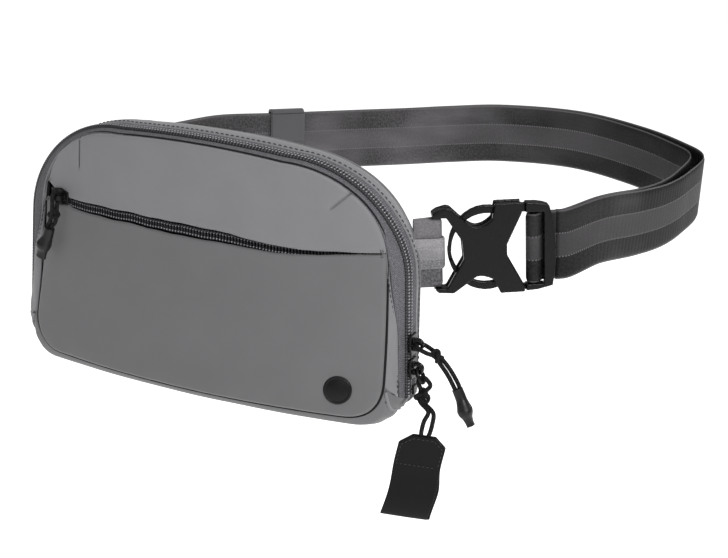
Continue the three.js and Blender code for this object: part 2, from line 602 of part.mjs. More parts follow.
// The socket half is an X of two plates joined only at its left end, where the tab's bar is, so
// the plug half's arms slide in between the plates.
function femaleGeometry() {
  const outline = new THREE.Shape();
  outline.moveTo(-7.8, 22.9).lineTo(-7.8, 25.3).lineTo(-5, 27.1).lineTo(0.1, 28.4).lineTo(2.2, 27.7);
  outline.quadraticCurveTo(12, 17.3, 15.7, 17.3).quadraticCurveTo(20, 17.6, 23.7, 21.3);
  outline.lineTo(25.4, 29.6).lineTo(39.4, 29.6).lineTo(39.4, 24).lineTo(31.5, 7.3).lineTo(31.5, 1.5);
  outline.lineTo(40.4, -15).lineTo(41, -19.2).lineTo(27.9, -19.3).lineTo(24.2, -11.6);
  outline.quadraticCurveTo(19.5, -9, 15.4, -9.5).lineTo(3, -18.3).lineTo(-5, -17.7).lineTo(-6.6, -16.2);
  outline.lineTo(-6.6, -15.3).lineTo(-0.4, -15.3).lineTo(8.6, 0.2).lineTo(7.7, 10.1).lineTo(-0.4, 22.9);
  const tall = FEMALE.front + FEMALE.rear + 2 * FEMALE.slot;
  const low = -FEMALE.slot - FEMALE.rear;
  const { mid, tabBar, tabBarR } = BUCKLE;
  const bar = new THREE.CylinderGeometry(tabBarR, tabBarR, 41, 12).translate(tabBar, mid, 0);
  const upperCheek = [[-7.8, 22.9], [-0.4, 22.9], [-0.4, 27.6], [-5, 27.1], [-7.8, 25.3]];
  const lowerCheek = [[-6.6, -15.3], [-6.6, -16.2], [-5, -17.7], [-0.4, -18], [-0.4, -15.3]];
  return geometryOf([
    solid(extrude(outline, FEMALE.front, FEMALE.slot, 4)),
    solid(extrude(outline, FEMALE.rear, low, 4)),
    solid(extrude(shapeOf(upperCheek), tall, low)),
    solid(extrude(shapeOf(lowerCheek), tall, low)),
    solid(bar),
  ].reduce((a, b) => a.add(b)));
}
addMesh(buckleFrame, 'buckle_socket', femaleGeometry(), 'plastic');

// The plug half: two rails, an adjuster bar for the webbing, a raised end bar, and tongues that
// reach in between the socket's plates.
function plugGeometry() {
  const { beltBar, beltBarR, mid } = BUCKLE;
  const rails = [RAIL.top, RAIL.foot].map(([low, high]) => solid(box([27.5, low, -1.6], [42, high, 1.6])));
  const upperRail = shapeOf([[41.7, 23.6], [41.7, 29], [47, 28.8], [51, 28.2], [54.2, 27], [54.2, 23.6]]);
  const lowerRail = shapeOf([[41.9, -15.7], [41.9, -19.2], [48, -18.8], [56, -16.9], [56, -15.7]]);
  rails.push(solid(extrude(upperRail, 7, -3.5)), solid(extrude(lowerRail, 7, -3.5)));
  const bar = new THREE.CylinderGeometry(beltBarR, beltBarR, 40.5, 12).translate(beltBar, mid, 0);
  const end = new THREE.Shape();
  end.moveTo(51.4, -17.2).lineTo(56, -17).quadraticCurveTo(60, 4.5, 54.2, 27).lineTo(51.4, 27);
  return geometryOf([...rails, solid(bar), solid(extrude(end, 4.3, -0.8, 8))].reduce((a, b) => a.add(b)));
}
addMesh(buckleFrame, 'buckle_plug', plugGeometry(), 'plastic');

// The plug's two spring arms make an oval; their thinned tips lie over one another at its nose.
const ARM = { cx: 21, cy: 5.1, outer: [20.7, 23.1], inner: [18.6, 18.7], half: 1.6, lap: 0.15 };
function armGeometry(side) {
  const { cx, cy, outer, inner, half, lap } = ARM;
  const arc = (radii, from, to, steps) => Array.from({ length: steps + 1 }, (_, i) => {
    const angle = from + ((to - from) * i) / steps;
    return [cx + radii[0] * Math.cos(angle), cy + side * radii[1] * Math.sin(angle)];
  });
  const crescent = (from, to, steps) => (
    shapeOf([...arc(outer, from, to, steps), ...arc(inner, to, from, steps)]));
  const root = 1.27; // just left of the tongue's end, in radians round the oval
  const [fullEnd, tipEnd] = [Math.PI - 0.27, Math.PI + 0.06];
  const tipFrom = side > 0 ? lap : -half;
  return geometryOf(solid(extrude(crescent(root, fullEnd, 9), 2 * half, -half))
    .add(solid(extrude(crescent(fullEnd - 0.02, tipEnd, 3), half - lap, tipFrom))));
}
addMesh(buckleFrame, 'buckle_arm_upper', armGeometry(1), 'plastic');
addMesh(buckleFrame, 'buckle_arm_lower', armGeometry(-1), 'plastic');

// ---- webbing ----
// A strip of webbing through centre-line points. up gives the strip's height direction at each.
function webbing(points, width = WEBBING.width, thick = WEBBING.thick, up = () => point(0, 0, 1)) {
  return loft(points.map((at, i) => {
    const before = points[Math.max(0, i - 1)];
    const after = points[Math.min(points.length - 1, i + 1)];
    const rise = up(i).clone().normalize();
    const face = after.clone().sub(before).cross(rise).normalize();
    const corner = (f, h) => at.clone().addScaledVector(face, (f * thick) / 2)
      .addScaledVector(rise, (h * width) / 2);
    return [corner(1, 1), corner(1, -1), corner(-1, -1), corner(-1, 1)];
  }));
}

// Each tab leaves the side seam, goes round the socket's bar and comes back behind itself.
function roundBar(radius, start, end, height, thick, mid) {
  const { tabBar } = BUCKLE;
  const arc = Array.from({ length: 10 }, (_, i) => {
    const angle = Math.PI / 2 - (3.58 * i) / 9;
    return point(tabBar + radius * Math.cos(angle), mid, radius * Math.sin(angle));
  });
  const path = [point(start[0], mid, start[1]), ...arc, point(end[0], mid, end[1])];
  return webbing(path, height, thick, () => point(0, 1, 0));
}
addMesh(buckleFrame, 'side_tab', roundBar(2.6, [-14.5, 2.6], [-14.5, 0.6], 37.2, 1.3, 3.8), 'webbing');
addMesh(buckleFrame, 'side_tab_keeper', roundBar(4, [-12.4, 4.6], [-12.4, -2.2], 16.5, 1.1, 4), 'webbing');

// The belt's end: out from behind the end bar, up between the bars, round and back inside.
const inBuckle = (x, y, z) => inFrame(buckleFrame, x, y, z);
const LAYERS = { outer: -2.3, inner: -4.6 };
const rollR = BUCKLE.beltBarR + GAP + WEBBING.thick / 2;
const roll = [point(57.6, 0, LAYERS.outer), point(51.6, 0, LAYERS.outer), point(50, 0, -0.6)];
for (let i = 0; i <= 10; i++) {
  const angle = 0.6 + ((Math.PI * 1.5 - 0.6) * i) / 10;
  roll.push(point(BUCKLE.beltBar + rollR * Math.cos(angle), 0, rollR * Math.sin(angle)));
}
roll.push(point(50, 0, LAYERS.inner), point(57.6, 0, LAYERS.inner));
addMesh(buckleFrame, 'belt_roll', webbing(roll.map((p) => p.setY(BUCKLE.mid)), WEBBING.width - 0.6,
  WEBBING.thick, () => point(0, 1, 0)), 'webbing');

// The belt's outer layer runs round the waist from the plug to the left side seam.
const KEEPER_FROM = point(0, 243.5, 27.3);
const KEEPER_TO = point(-94, 155, 21.8);
const straight = [0, 0.25, 0.5, 0.75, 1].map((share) => along(KEEPER_FROM, KEEPER_TO, share));
const beltStart = inBuckle(58.4, BUCKLE.mid, LAYERS.outer);
const beltCurve = new THREE.CatmullRomCurve3([
  beltStart, inBuckle(63.5, BUCKLE.mid, LAYERS.outer - 0.3), point(185, 74, 29.3), point(196, 116, 27),
  point(202, 150, 25.6), point(205, 184, 26.6), point(203, 232, 28.4), point(181, 269, 27.5),
  point(149, 292, 29), point(103, 302, 31.4), point(52, 286, 31), point(24, 265, 29.2), ...straight,
  point(-108, 132, 19), point(-117, 112, 17), point(-123, 80, 14.5), point(-119, 41, 10),
  point(-113.5, 22, 8), point(-109.8, 10.4, 7),
], false, 'centripetal');
const beltLength = beltCurve.getLength();
const BELT_ENDS = { front: 36, right: 205, rear: 400, left: 620 }; // distances from the plug
const waist = point(45, 150, 0);
const inward = (share) => {
  const tangent = beltCurve.getTangentAt(share);
  const side = point(-tangent.y, tangent.x, 0).normalize();
  return side.dot(waist.clone().sub(beltCurve.getPointAt(share))) > 0 ? side : side.negate();
};
// The tail lies inside the outer layer, furthest from it round the right-hand turn.
const TAIL = { end: 612, flatFrom: 495, near: 2.3, spread: 6.5 };
const tailOffset = (distance) => (
  TAIL.near + TAIL.spread * Math.sin(Math.PI * Math.min(1, distance / TAIL.flatFrom)) ** 2);
function beltPiece(from, to, step, offset = () => 0) {
  const steps = Math.max(2, Math.round((to - from) / step));
  const distances = Array.from({ length: steps + 1 }, (_, i) => from + ((to - from) * i) / steps);
  const points = distances.map((distance) => {
    const share = distance / beltLength;
    return beltCurve.getPointAt(share).addScaledVector(inward(share), offset(distance));
  });
  // It leaves the buckle at the buckle's own lean and is upright where the front piece ends.
  const up = (i) => buckleUp.clone().lerp(point(0, 0, 1), Math.min(1, distances[i] / BELT_ENDS.front));
  return webbing(points, WEBBING.width, WEBBING.thick, up);
}
const { front, right, rear, left } = BELT_ENDS;
addMesh(bag, 'belt_front', beltPiece(0, front, 6), 'webbing');
addMesh(bag, 'belt_right', beltPiece(front + GAP, right, 13), 'webbing');
addMesh(bag, 'belt_rear', beltPiece(right + GAP, rear, 12), 'webbing');
addMesh(bag, 'belt_keeper_run', beltPiece(rear + GAP, left, 14), 'webbing');
addMesh(bag, 'belt_left', beltPiece(left + GAP, beltLength, 13), 'webbing');
addMesh(bag, 'tail_front', beltPiece(0, front, 6, tailOffset), 'webbing');
addMesh(bag, 'tail_right', beltPiece(front + GAP, right, 13, tailOffset), 'webbing');
addMesh(bag, 'tail_rear', beltPiece(right + GAP, rear, 12, tailOffset), 'webbing');
addMesh(bag, 'tail_end', beltPiece(rear + GAP, TAIL.end, 14, tailOffset), 'webbing');

// ---- keeper ----
// A sleeve of webbing round both layers, on the straight stretch where it can slide.
const KEEPER = { at: 0.65, width: 22, wall: 1.4, slack: 0.6 };
const keeperAlong = KEEPER_TO.clone().sub(KEEPER_FROM).normalize();
const keeperIn = point(-keeperAlong.y, keeperAlong.x, 0).normalize();
if (keeperIn.dot(waist.clone().sub(KEEPER_FROM)) < 0) keeperIn.negate();
const keeperUp = keeperAlong.clone().cross(keeperIn).normalize();
const keeperBasis = new THREE.Matrix4().makeBasis(keeperIn, keeperUp, keeperIn.clone().cross(keeperUp));
const keeperFrame = framed(bag, keeperBasis, along(KEEPER_FROM, KEEPER_TO, KEEPER.at));
function keeperGeometry() {
  const halfUp = WEBBING.width / 2 + KEEPER.slack + 0.5;
  const low = -WEBBING.thick / 2 - KEEPER.slack;
  const high = TAIL.near + WEBBING.thick / 2 + KEEPER.slack;
  const ring = (by) => [[low - by, -halfUp - by], [high + by, -halfUp - by], [high + by, halfUp + by],
    [low - by, halfUp + by]];
  const outline = shapeOf(ring(KEEPER.wall));
  outline.holes.push(shapeOf(ring(0)));
  return extrude(outline, KEEPER.width, -KEEPER.width / 2);
}
addMesh(keeperFrame, 'keeper', keeperGeometry(), 'webbing');

export default bag;
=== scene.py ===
"""Waist bag: the looks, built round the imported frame.

Lengths are in millimetres in the row's frame until a mesh is made, which is in metres.
"""
import math

import bmesh
import bpy
import numpy as np
from mathutils import Matrix, Vector, noise


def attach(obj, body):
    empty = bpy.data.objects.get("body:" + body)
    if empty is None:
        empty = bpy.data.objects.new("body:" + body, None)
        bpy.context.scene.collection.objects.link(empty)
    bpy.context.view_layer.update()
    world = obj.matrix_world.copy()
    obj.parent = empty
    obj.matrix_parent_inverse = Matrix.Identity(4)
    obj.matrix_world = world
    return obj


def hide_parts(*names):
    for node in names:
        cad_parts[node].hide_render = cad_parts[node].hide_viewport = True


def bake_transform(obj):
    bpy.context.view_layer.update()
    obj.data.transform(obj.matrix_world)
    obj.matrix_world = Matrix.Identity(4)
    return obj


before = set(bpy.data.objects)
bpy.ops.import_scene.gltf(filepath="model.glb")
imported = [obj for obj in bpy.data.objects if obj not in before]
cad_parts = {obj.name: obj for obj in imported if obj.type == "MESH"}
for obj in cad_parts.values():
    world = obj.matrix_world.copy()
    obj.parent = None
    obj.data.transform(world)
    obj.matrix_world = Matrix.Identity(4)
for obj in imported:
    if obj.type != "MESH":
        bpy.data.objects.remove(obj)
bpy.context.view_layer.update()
MM = 0.001
scene = bpy.context.scene
scene.view_settings.view_transform = "Standard"


# ---- camera ----
def make_camera():
    eye, target, roll = Vector((0.4106, -0.7859, 0.2497)), Vector((0.08024, 0, 0.0001)), math.radians(4.36)
    forward = (target - eye).normalized()
    right = forward.cross(Vector((0, 0, 1))).normalized()
    up = right.cross(forward)
    right2 = right * math.cos(roll) + up * math.sin(roll)
    up2 = up * math.cos(roll) - right * math.sin(roll)
    data = bpy.data.cameras.new("camera")
    data.lens, data.sensor_width = 83.0, 36.0
    data.clip_start, data.clip_end = 0.01, 20
    camera = bpy.data.objects.new("camera", data)
    turn = Matrix((right2, up2, -forward)).transposed().to_4x4()
    camera.matrix_world = Matrix.Translation(eye) @ turn
    scene.collection.objects.link(camera)
    scene.camera = camera


make_camera()


# ---- material nodes ----
class Nodes:
    """A material's node tree, with short calls for the nodes used here."""

    def __init__(self, name, colour, roughness, **sockets):
        self.material = bpy.data.materials.new(name)
        self.material.use_nodes = True
        self.tree = self.material.node_tree
        self.shader = self.tree.nodes["Principled BSDF"]
        self.shader.inputs["Base Color"].default_value = (*colour, 1)
        self.shader.inputs["Roughness"].default_value = roughness
        for socket, value in sockets.items():
            self.shader.inputs[socket.replace("_", " ")].default_value = value

    def node(self, kind, inputs=None, **settings):
        made = self.tree.nodes.new("ShaderNode" + kind)
        for key, value in settings.items():
            setattr(made, key, value)
        for key, value in (inputs or {}).items():
            if isinstance(value, bpy.types.NodeSocket):
                self.tree.links.new(value, made.inputs[key])
            else:
                made.inputs[key].default_value = value
        return made

    def coords(self, kind, scale=(1, 1, 1), turn=0.0):
        source = self.node("TexCoord").outputs[kind]
        return self.node("Mapping", {"Vector": source, "Scale": scale, "Rotation": (0, 0, turn)}).outputs[0]

    def noise(self, vector, scale, detail=2.0, rough=0.5):
        return self.node("TexNoise", {"Vector": vector, "Scale": scale, "Detail": detail,
                                      "Roughness": rough}).outputs[0]

    def wave(self, vector, scale, direction="X", distortion=0.0):
        return self.node("TexWave", {"Vector": vector, "Scale": scale, "Distortion": distortion},
                         bands_direction=direction).outputs[1]

    def math(self, operation, a, b=0.5, clamp=False):
        return self.node("Math", {0: a, 1: b}, operation=operation, use_clamp=clamp).outputs[0]

    def ramp(self, value, stops):
        made = self.node("ValToRGB", {0: value})
        ramp = made.color_ramp
        while len(ramp.elements) < len(stops):
            ramp.elements.new(0.5)
        for element, (at, colour) in zip(ramp.elements, stops):
            element.position = at
            element.color = (*colour, 1) if hasattr(colour, "__len__") else (colour, colour, colour, 1)
        return made.outputs[0]

    def mix(self, factor, a, b, blend="MIX"):
        made = self.node("Mix", {0: factor}, data_type="RGBA", blend_type=blend)
        for index, value in ((6, a), (7, b)):
            if isinstance(value, bpy.types.NodeSocket):
                self.tree.links.new(value, made.inputs[index])
            else:
                made.inputs[index].default_value = (*value, 1)
        return made.outputs[2]

    def bump(self, height, strength, distance, below=None):
        inputs = {"Height": height, "Strength": strength, "Distance": distance}
        if below:
            inputs["Normal"] = below
        return self.node("Bump", inputs).outputs[0]

    def set(self, socket, value):
        self.tree.links.new(value, self.shader.inputs[socket])

    def uv(self, axis):
        return self.node("SeparateXYZ", {0: self.node("TexCoord").outputs["UV"]}).outputs[axis]


def scaled(colour, by):
    return tuple(c * by for c in colour)


def woven(name, colour, thread=0.0005, roughness=0.62, depth=0.00006, mottle=0.10, sheen=0.25):
    """Smooth coated cloth: a fine plain weave, faint mottling and small soft undulations."""
    m = Nodes(name, colour, roughness, Sheen_Weight=sheen, Sheen_Roughness=0.45, Specular_IOR_Level=0.35)
    uv = m.coords("UV")
    pitch = math.pi / (10 * thread)
    warp = m.wave(uv, pitch, "X")
    weft = m.wave(uv, pitch, "Y")
    weave = m.math("MULTIPLY", warp, weft)
    soft = m.noise(m.coords("Object"), 45, 3)
    slub = m.noise(m.coords("UV", (260, 2400, 1)), 1.0, 2)
    shade = m.mix(soft, scaled(colour, 1 - mottle), scaled(colour, 1 + mottle))
    shade = m.mix(m.math("MULTIPLY", slub, 0.16), shade, scaled(colour, 1.35))
    m.set("Base Color", m.mix(m.math("MULTIPLY", weave, 0.18), shade, scaled(colour, 1.25)))
    rough = m.node("Math", {0: soft, 1: 0.12, 2: roughness - 0.06}, operation="MULTIPLY_ADD")
    m.set("Roughness", rough.outputs[0])
    m.set("Normal", m.bump(weave, 0.35, depth, m.bump(soft, 0.25, 0.0006)))
    return m.material


def tape_cloth(name, colour):
    """Zip tape: a coarse twill with fine ribs across it. U runs along the tape in metres."""
    m = Nodes(name, colour, 0.75, Specular_IOR_Level=0.2)
    place = m.coords("Object")
    speckle = m.noise(place, 1300, 2, 0.8)
    knit = m.node("TexVoronoi", {"Vector": place, "Scale": 1500.0}).outputs["Distance"]
    grain = m.math("ADD", m.math("MULTIPLY", speckle, 0.7), m.math("MULTIPLY", knit, 0.4))
    ribs = m.wave(m.coords("UV"), math.pi / (10 * 0.0012), "X")
    grain = m.math("ADD", m.math("MULTIPLY", grain, 0.7), m.math("MULTIPLY", ribs, 0.16))
    shades = [(0.32, scaled(colour, 0.55)), (0.45, colour), (0.62, scaled(colour, 1.7))]
    m.set("Base Color", m.ramp(grain, shades))
    m.set("Normal", m.bump(grain, 0.5, 0.0002))
    return m.material


def belt_cloth(name, colour, bands=True, painted_light_stops=()):
    """Satin webbing. U runs along it in metres; V runs from 0 to 1 across it.

    Its last argument lists (distance along in metres, brightness): painted highlight and painted shade along
    the belt, where its turns catch or lose the light.
    """
    m = Nodes(name, colour, 0.55, Specular_IOR_Level=0.12)
    across, along = m.uv(1), m.uv(0)
    fine = m.noise(m.coords("UV", (900, 26, 1)), 1.0, 3, 0.65)
    cloud = m.noise(m.coords("UV", (17, 0.9, 1)), 1.0, 2)
    streak = m.noise(m.coords("UV", (60, 38, 1)), 1.0, 2)
    ribs = m.wave(m.coords("UV", (1, 0, 0)), 78, "X", 0.0)
    warps = m.node("Math", {0: m.math("MULTIPLY", across, 40 * math.tau)}, operation="SINE").outputs[0]
    shade = m.ramp(fine, [(0.3, scaled(colour, 0.4)), (0.5, colour), (0.75, scaled(colour, 2.0))])
    # Painted sheen: broad bright patches along the belt, painted into its colour for the satin's highlights.
    painted_satin_gloss = m.ramp(cloud, [(0.42, 0.0), (0.72, 1.0)])
    shade = m.mix(m.math("MULTIPLY", painted_satin_gloss, 0.8), shade, scaled(colour, 3.4))
    shade = m.mix(m.math("MULTIPLY", streak, 0.35), shade, scaled(colour, 0.45))
    if painted_light_stops:
        reach = painted_light_stops[-1][0]
        swirl = m.noise(m.coords("UV", (9, 2.2, 1)), 1.0, 2)
        drift = m.math("MULTIPLY", m.math("SUBTRACT", swirl, 0.5), 0.09)
        place = m.math("DIVIDE", m.math("ADD", along, drift), reach)
        # Painted highlight and painted shade: the colour is multiplied by the brightness stops along the
        # belt.
        painted_light = m.ramp(place, [(at / reach, level) for at, level in painted_light_stops])
        shade = m.mix(1.0, shade, painted_light, "MULTIPLY")
    height = m.math("ADD", m.math("MULTIPLY", ribs, 0.6), m.math("MULTIPLY", warps, 0.25))
    if bands:
        middle = m.math("ABSOLUTE", m.math("SUBTRACT", across, 0.5))
        inner = m.math("LESS_THAN", middle, 0.165)
        shade = m.mix(m.math("MULTIPLY", inner, 0.35), shade, scaled(colour, 1.6))
        edge = m.math("LESS_THAN", m.math("ABSOLUTE", m.math("SUBTRACT", middle, 0.17)), 0.009)
        dots = m.math("GREATER_THAN", m.node("Math", {0: m.math("MULTIPLY", along, math.tau / 0.0016)},
                                             operation="SINE").outputs[0], -0.2)
        stitched = m.math("MULTIPLY", edge, dots)
        shade = m.mix(m.math("MULTIPLY", stitched, 0.75), shade, scaled(colour, 2.3))
        selvage = m.math("GREATER_THAN", middle, 0.478)
        shade = m.mix(m.math("MULTIPLY", selvage, 0.6), shade, scaled(colour, 1.9))
        height = m.math("SUBTRACT", height, m.math("MULTIPLY", edge, 1.2))
    m.set("Base Color", shade)
    m.set("Normal", m.bump(height, 0.5, 0.00022))
    return m.material


def moulded(name, colour, roughness, grain=2600.0, depth=0.00003, **sockets):
    """Moulded plastic, rubber or painted metal with a fine surface grain and worn variation."""
    m = Nodes(name, colour, roughness, **sockets)
    place = m.coords("Object")
    fine = m.noise(place, grain, 2)
    broad = m.noise(place, 110, 3)
    m.set("Base Color", m.mix(broad, scaled(colour, 0.75), scaled(colour, 1.35)))
    m.set("Roughness", m.ramp(broad, [(0.3, max(0.05, roughness - 0.07)), (0.7, roughness + 0.07)]))
    m.set("Normal", m.bump(fine, 0.35, depth))
    return m.material


def ribbed(name, colour):
    """The sewn rows of a nylon coil: dark, with the turns of the coil showing as ribs. U runs along them."""
    m = Nodes(name, colour, 0.42, Specular_IOR_Level=0.4)
    ribs = m.wave(m.coords("UV"), math.tau / (20 * 0.00175), "X")
    specks = m.noise(m.coords("Object"), 1500, 2, 0.7)
    shade = m.math("MULTIPLY", ribs, specks)
    m.set("Base Color", m.ramp(shade, [(0.2, colour), (0.6, scaled(colour, 3.2))]))
    m.set("Normal", m.bump(ribs, 0.9, 0.0004))
    return m.material


def braided(name, colour):
    """Round braided cord."""
    m = Nodes(name, colour, 0.75, Specular_IOR_Level=0.12)
    left = m.wave(m.coords("UV", (620, 3.2, 1)), math.tau / 20, "DIAGONAL")
    right = m.wave(m.coords("UV", (620, -3.2, 1)), math.tau / 20, "DIAGONAL")
    braid = m.math("MAXIMUM", left, right)
    m.set("Base Color", m.mix(braid, scaled(colour, 0.6), scaled(colour, 1.9)))
    m.set("Normal", m.bump(braid, 0.7, 0.00025))
    return m.material


GREY = (0.180, 0.180, 0.189)
# Painted light along the belt: (distance along in metres, brightness) stops that paint its highlights and
# shade into its colour.
BELT_PAINTED_LIGHT = [(0, 0.2), (0.04, 0.3), (0.08, 0.05), (0.14, 0.02), (0.24, 0.15), (0.33, 0.27), (0.39, 0.5),
              (0.44, 0.95), (0.48, 0.6), (0.52, 1.0), (0.60, 0.5), (0.95, 0.3)]
LOOKS = {
    "fabric": woven("coated_cloth", GREY),
    # A darker copy of the coated cloth: painted shade for the pocket front and the base, which face down and
    # away from the light; the fold and the back piping use it too.
    "fabric_dark": woven("coated_cloth_painted_shade", (0.125, 0.125, 0.129)),
    "lining": woven("lining_cloth", (0.24, 0.24, 0.247), thread=0.0007, roughness=0.75, sheen=0.1),
    "foam": woven("spacer_mesh", (0.08, 0.08, 0.085), thread=0.0022, roughness=0.9, depth=0.0005),
    "zip_tape": tape_cloth("zip_tape_cloth", (0.100, 0.100, 0.108)),
    "zip_coil": ribbed("coil_nylon", (0.013, 0.013, 0.0155)),
    "coil_turns": moulded("coil_turn_nylon", (0.05, 0.05, 0.054), 0.35),
    # Painted highlights: a pale look for the beads on the coil's crowns, in place of their glints.
    "coil_painted_glint": moulded("coil_glint_painted", (0.30, 0.30, 0.32), 0.32),
    "webbing": belt_cloth("webbing_satin", (0.064, 0.061, 0.064), painted_light_stops=BELT_PAINTED_LIGHT),
    "webbing_narrow": belt_cloth("webbing_narrow", (0.19, 0.185, 0.192)),
    "webbing_plain": belt_cloth("webbing_tab", (0.11, 0.106, 0.112), bands=False),
    "buckle_plastic": moulded("buckle_nylon", (0.0045, 0.0045, 0.0047), 0.3, Specular_IOR_Level=0.2),
    "badge_rubber": moulded("badge_moulding", (0.007, 0.007, 0.0074), 0.38, Specular_IOR_Level=0.2),
    "slider_metal": moulded("slider_enamel", (0.004, 0.004, 0.0045), 0.28, Specular_IOR_Level=0.22),
    "cord": braided("cord_braid", (0.007, 0.007, 0.0075)),
    "tube_rubber": moulded("shrink_tube", (0.009, 0.009, 0.0097), 0.4, grain=900.0, depth=0.00008,
                           Specular_IOR_Level=0.3),
    "tab_plastic": moulded("tab_moulding", (0.005, 0.005, 0.0053), 0.5, grain=1500.0, depth=0.00006,
                           Specular_IOR_Level=0.15),
    # Painted shadow: a near-black matte look for the tube laid in the front seam's crease.
    "painted_shadow_line": moulded("painted_seam_shadow", (0.012, 0.012, 0.013), 0.9, Specular_IOR_Level=0.1),
    "thread": moulded("sewing_thread", (0.03, 0.03, 0.033), 0.7),
}


# ---- mesh helpers ----
def new_object(name, mesh, slot, look=None, smooth=True):
    made = bpy.data.objects.new(name, mesh)
    scene.collection.objects.link(made)
    if mesh.materials:
        mesh.materials.clear()
    mesh.materials.append(LOOKS[look or slot])
    if smooth:
        mesh.polygons.foreach_set("use_smooth", [True] * len(mesh.polygons))
    return made


def grid(name, rows, slot, look=None, closed=False, uvs=None, cap=False):
    """A surface through rows of points in mm. closed joins each row's end to its start."""
    points = np.array(rows, float) * MM
    m, n = points.shape[:2]
    wrap = n if closed else n - 1
    faces = [(i * n + j, i * n + (j + 1) % n, (i + 1) * n + (j + 1) % n, (i + 1) * n + j)
             for i in range(m - 1) for j in range(wrap)]
    if cap and closed:
        faces += [tuple(range(n - 1, -1, -1)), tuple(range((m - 1) * n, m * n))]
    mesh = bpy.data.meshes.new(name)
    mesh.from_pydata(points.reshape(-1, 3).tolist(), [], faces)
    mesh.validate()
    if uvs is None:
        down = np.r_[0, np.linalg.norm(np.diff(points, axis=0), axis=2).mean(1).cumsum()]
        across = np.r_[0, np.linalg.norm(np.diff(points, axis=1), axis=2).mean(0).cumsum()]
        uvs = [(u, v) for u in down for v in across]
    layer = mesh.uv_layers.new(name="UVMap")
    index = np.zeros(len(mesh.loops), int)
    mesh.loops.foreach_get("vertex_index", index)
    layer.data.foreach_set("uv", np.array(uvs, float)[index].ravel())
    return new_object(name, mesh, slot, look)


def applied(piece):
    """Turns the piece's modifiers into its mesh."""
    graph = bpy.context.evaluated_depsgraph_get()
    mesh = bpy.data.meshes.new_from_object(piece.evaluated_get(graph))
    piece.modifiers.clear()
    piece.data = mesh
    return piece


def thickened(piece, mm, offset=-1):
    solid = piece.modifiers.new("thick", "SOLIDIFY")
    solid.thickness, solid.offset, solid.use_even_offset = mm * MM, offset, False
    return applied(piece)


def outward(piece, centre):
    """Faces the piece's normals away from a point in mm."""
    bm = bmesh.new()
    bm.from_mesh(piece.data)
    at = Vector(centre) * MM
    if sum((f.calc_center_median() - at).dot(f.normal) * f.calc_area() for f in bm.faces) < 0:
        bmesh.ops.reverse_faces(bm, faces=bm.faces)
    bm.to_mesh(piece.data)
    bm.free()
    return piece


def refined(node, slot, voxel, rounds=3, grown=0.0):
    """A CAD node's shape with its edges rounded over, as a moulding's are."""
    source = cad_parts[node]
    piece = new_object(node + "_moulded", source.data.copy(), slot)
    remesh = piece.modifiers.new("remesh", "REMESH")
    remesh.mode, remesh.voxel_size = "VOXEL", voxel * MM
    soften = piece.modifiers.new("soften", "SMOOTH")
    soften.factor, soften.iterations = 0.5, rounds
    if grown:
        outset = piece.modifiers.new("grown", "DISPLACE")
        outset.mid_level, outset.strength = 0, grown * MM
    applied(piece)
    piece.data.polygons.foreach_set("use_smooth", [True] * len(piece.data.polygons))
    piece.data.materials.clear()
    piece.data.materials.append(LOOKS[slot])
    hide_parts(node)
    return piece


def tube_rows(points, radii, sides=12):
    """Rings of points round a path, for grid(closed=True). radii is one number or one each."""
    path = [Vector(p) for p in points]
    radii = radii if hasattr(radii, "__len__") else [radii] * len(path)
    last = len(path) - 1
    tangents = [(path[min(i + 1, last)] - path[max(i - 1, 0)]).normalized() for i in range(last + 1)]
    side = tangents[0].orthogonal().normalized()
    rows = []
    for at, tangent, radius in zip(path, tangents, radii):
        side = (side - tangent * side.dot(tangent)).normalized()
        other = tangent.cross(side)
        rows.append([at + radius * (side * math.cos(a) + other * math.sin(a))
                     for a in np.linspace(0, math.tau, sides, endpoint=False)])
    return rows


def catmull(points, count, closed=False):
    """A centripetal Catmull-Rom line through the points, at even distances."""
    pts = [np.array(p, float) for p in points]
    ends = [pts[0] * 2 - pts[1], *pts, pts[-1] * 2 - pts[-2]] if not closed else [pts[-1], *pts, *pts[:2]]
    fine = []
    for i in range(len(ends) - 3):
        p0, p1, p2, p3 = ends[i:i + 4]
        d0, d1, d2 = (max(np.linalg.norm(b - a) ** 0.5, 1e-4) for a, b in ((p0, p1), (p1, p2), (p2, p3)))
        t1 = ((p1 - p0) / d0 - (p2 - p0) / (d0 + d1) + (p2 - p1) / d1) * d1
        t2 = ((p2 - p1) / d1 - (p3 - p1) / (d1 + d2) + (p3 - p2) / d2) * d1
        for s in np.linspace(0, 1, 24, endpoint=False):
            fine.append(p1 + t1 * s + (-3 * p1 + 3 * p2 - 2 * t1 - t2) * s ** 2
                        + (2 * p1 - 2 * p2 + t1 + t2) * s ** 3)
    fine.append(ends[-2])
    fine = np.array(fine)
    return spaced(fine, count)


def run_along(line):
    """The distance along a line at each of its points."""
    return np.r_[0, np.linalg.norm(np.diff(np.array(line, float), axis=0), axis=1).cumsum()]


def spaced(line, count):
    line = np.array(line, float)
    run = run_along(line)
    even = np.linspace(0, run[-1], count)
    return np.stack([np.interp(even, run, line[:, k]) for k in range(3)], 1)


def length_of(line):
    return float(run_along(line)[-1])


class Guide:
    """A line, with the ways out from it and across it, read at any distance along it."""

    def __init__(self, line, outs, sides=None):
        tables = [table for table in (line, outs, sides) if table is not None]
        self.tables = [np.array([tuple(p) for p in table]) for table in tables]
        self.run = run_along(self.tables[0])
        self.end = self.run[-1]

    def read(self, table, distance):
        return Vector([np.interp(distance, self.run, self.tables[table][:, k]) for k in range(3)])

    def place(self, distance):
        return self.read(0, distance)

    def out(self, distance):
        return self.read(1, distance).normalized()

    def side(self, distance):
        return self.read(2, distance).normalized()


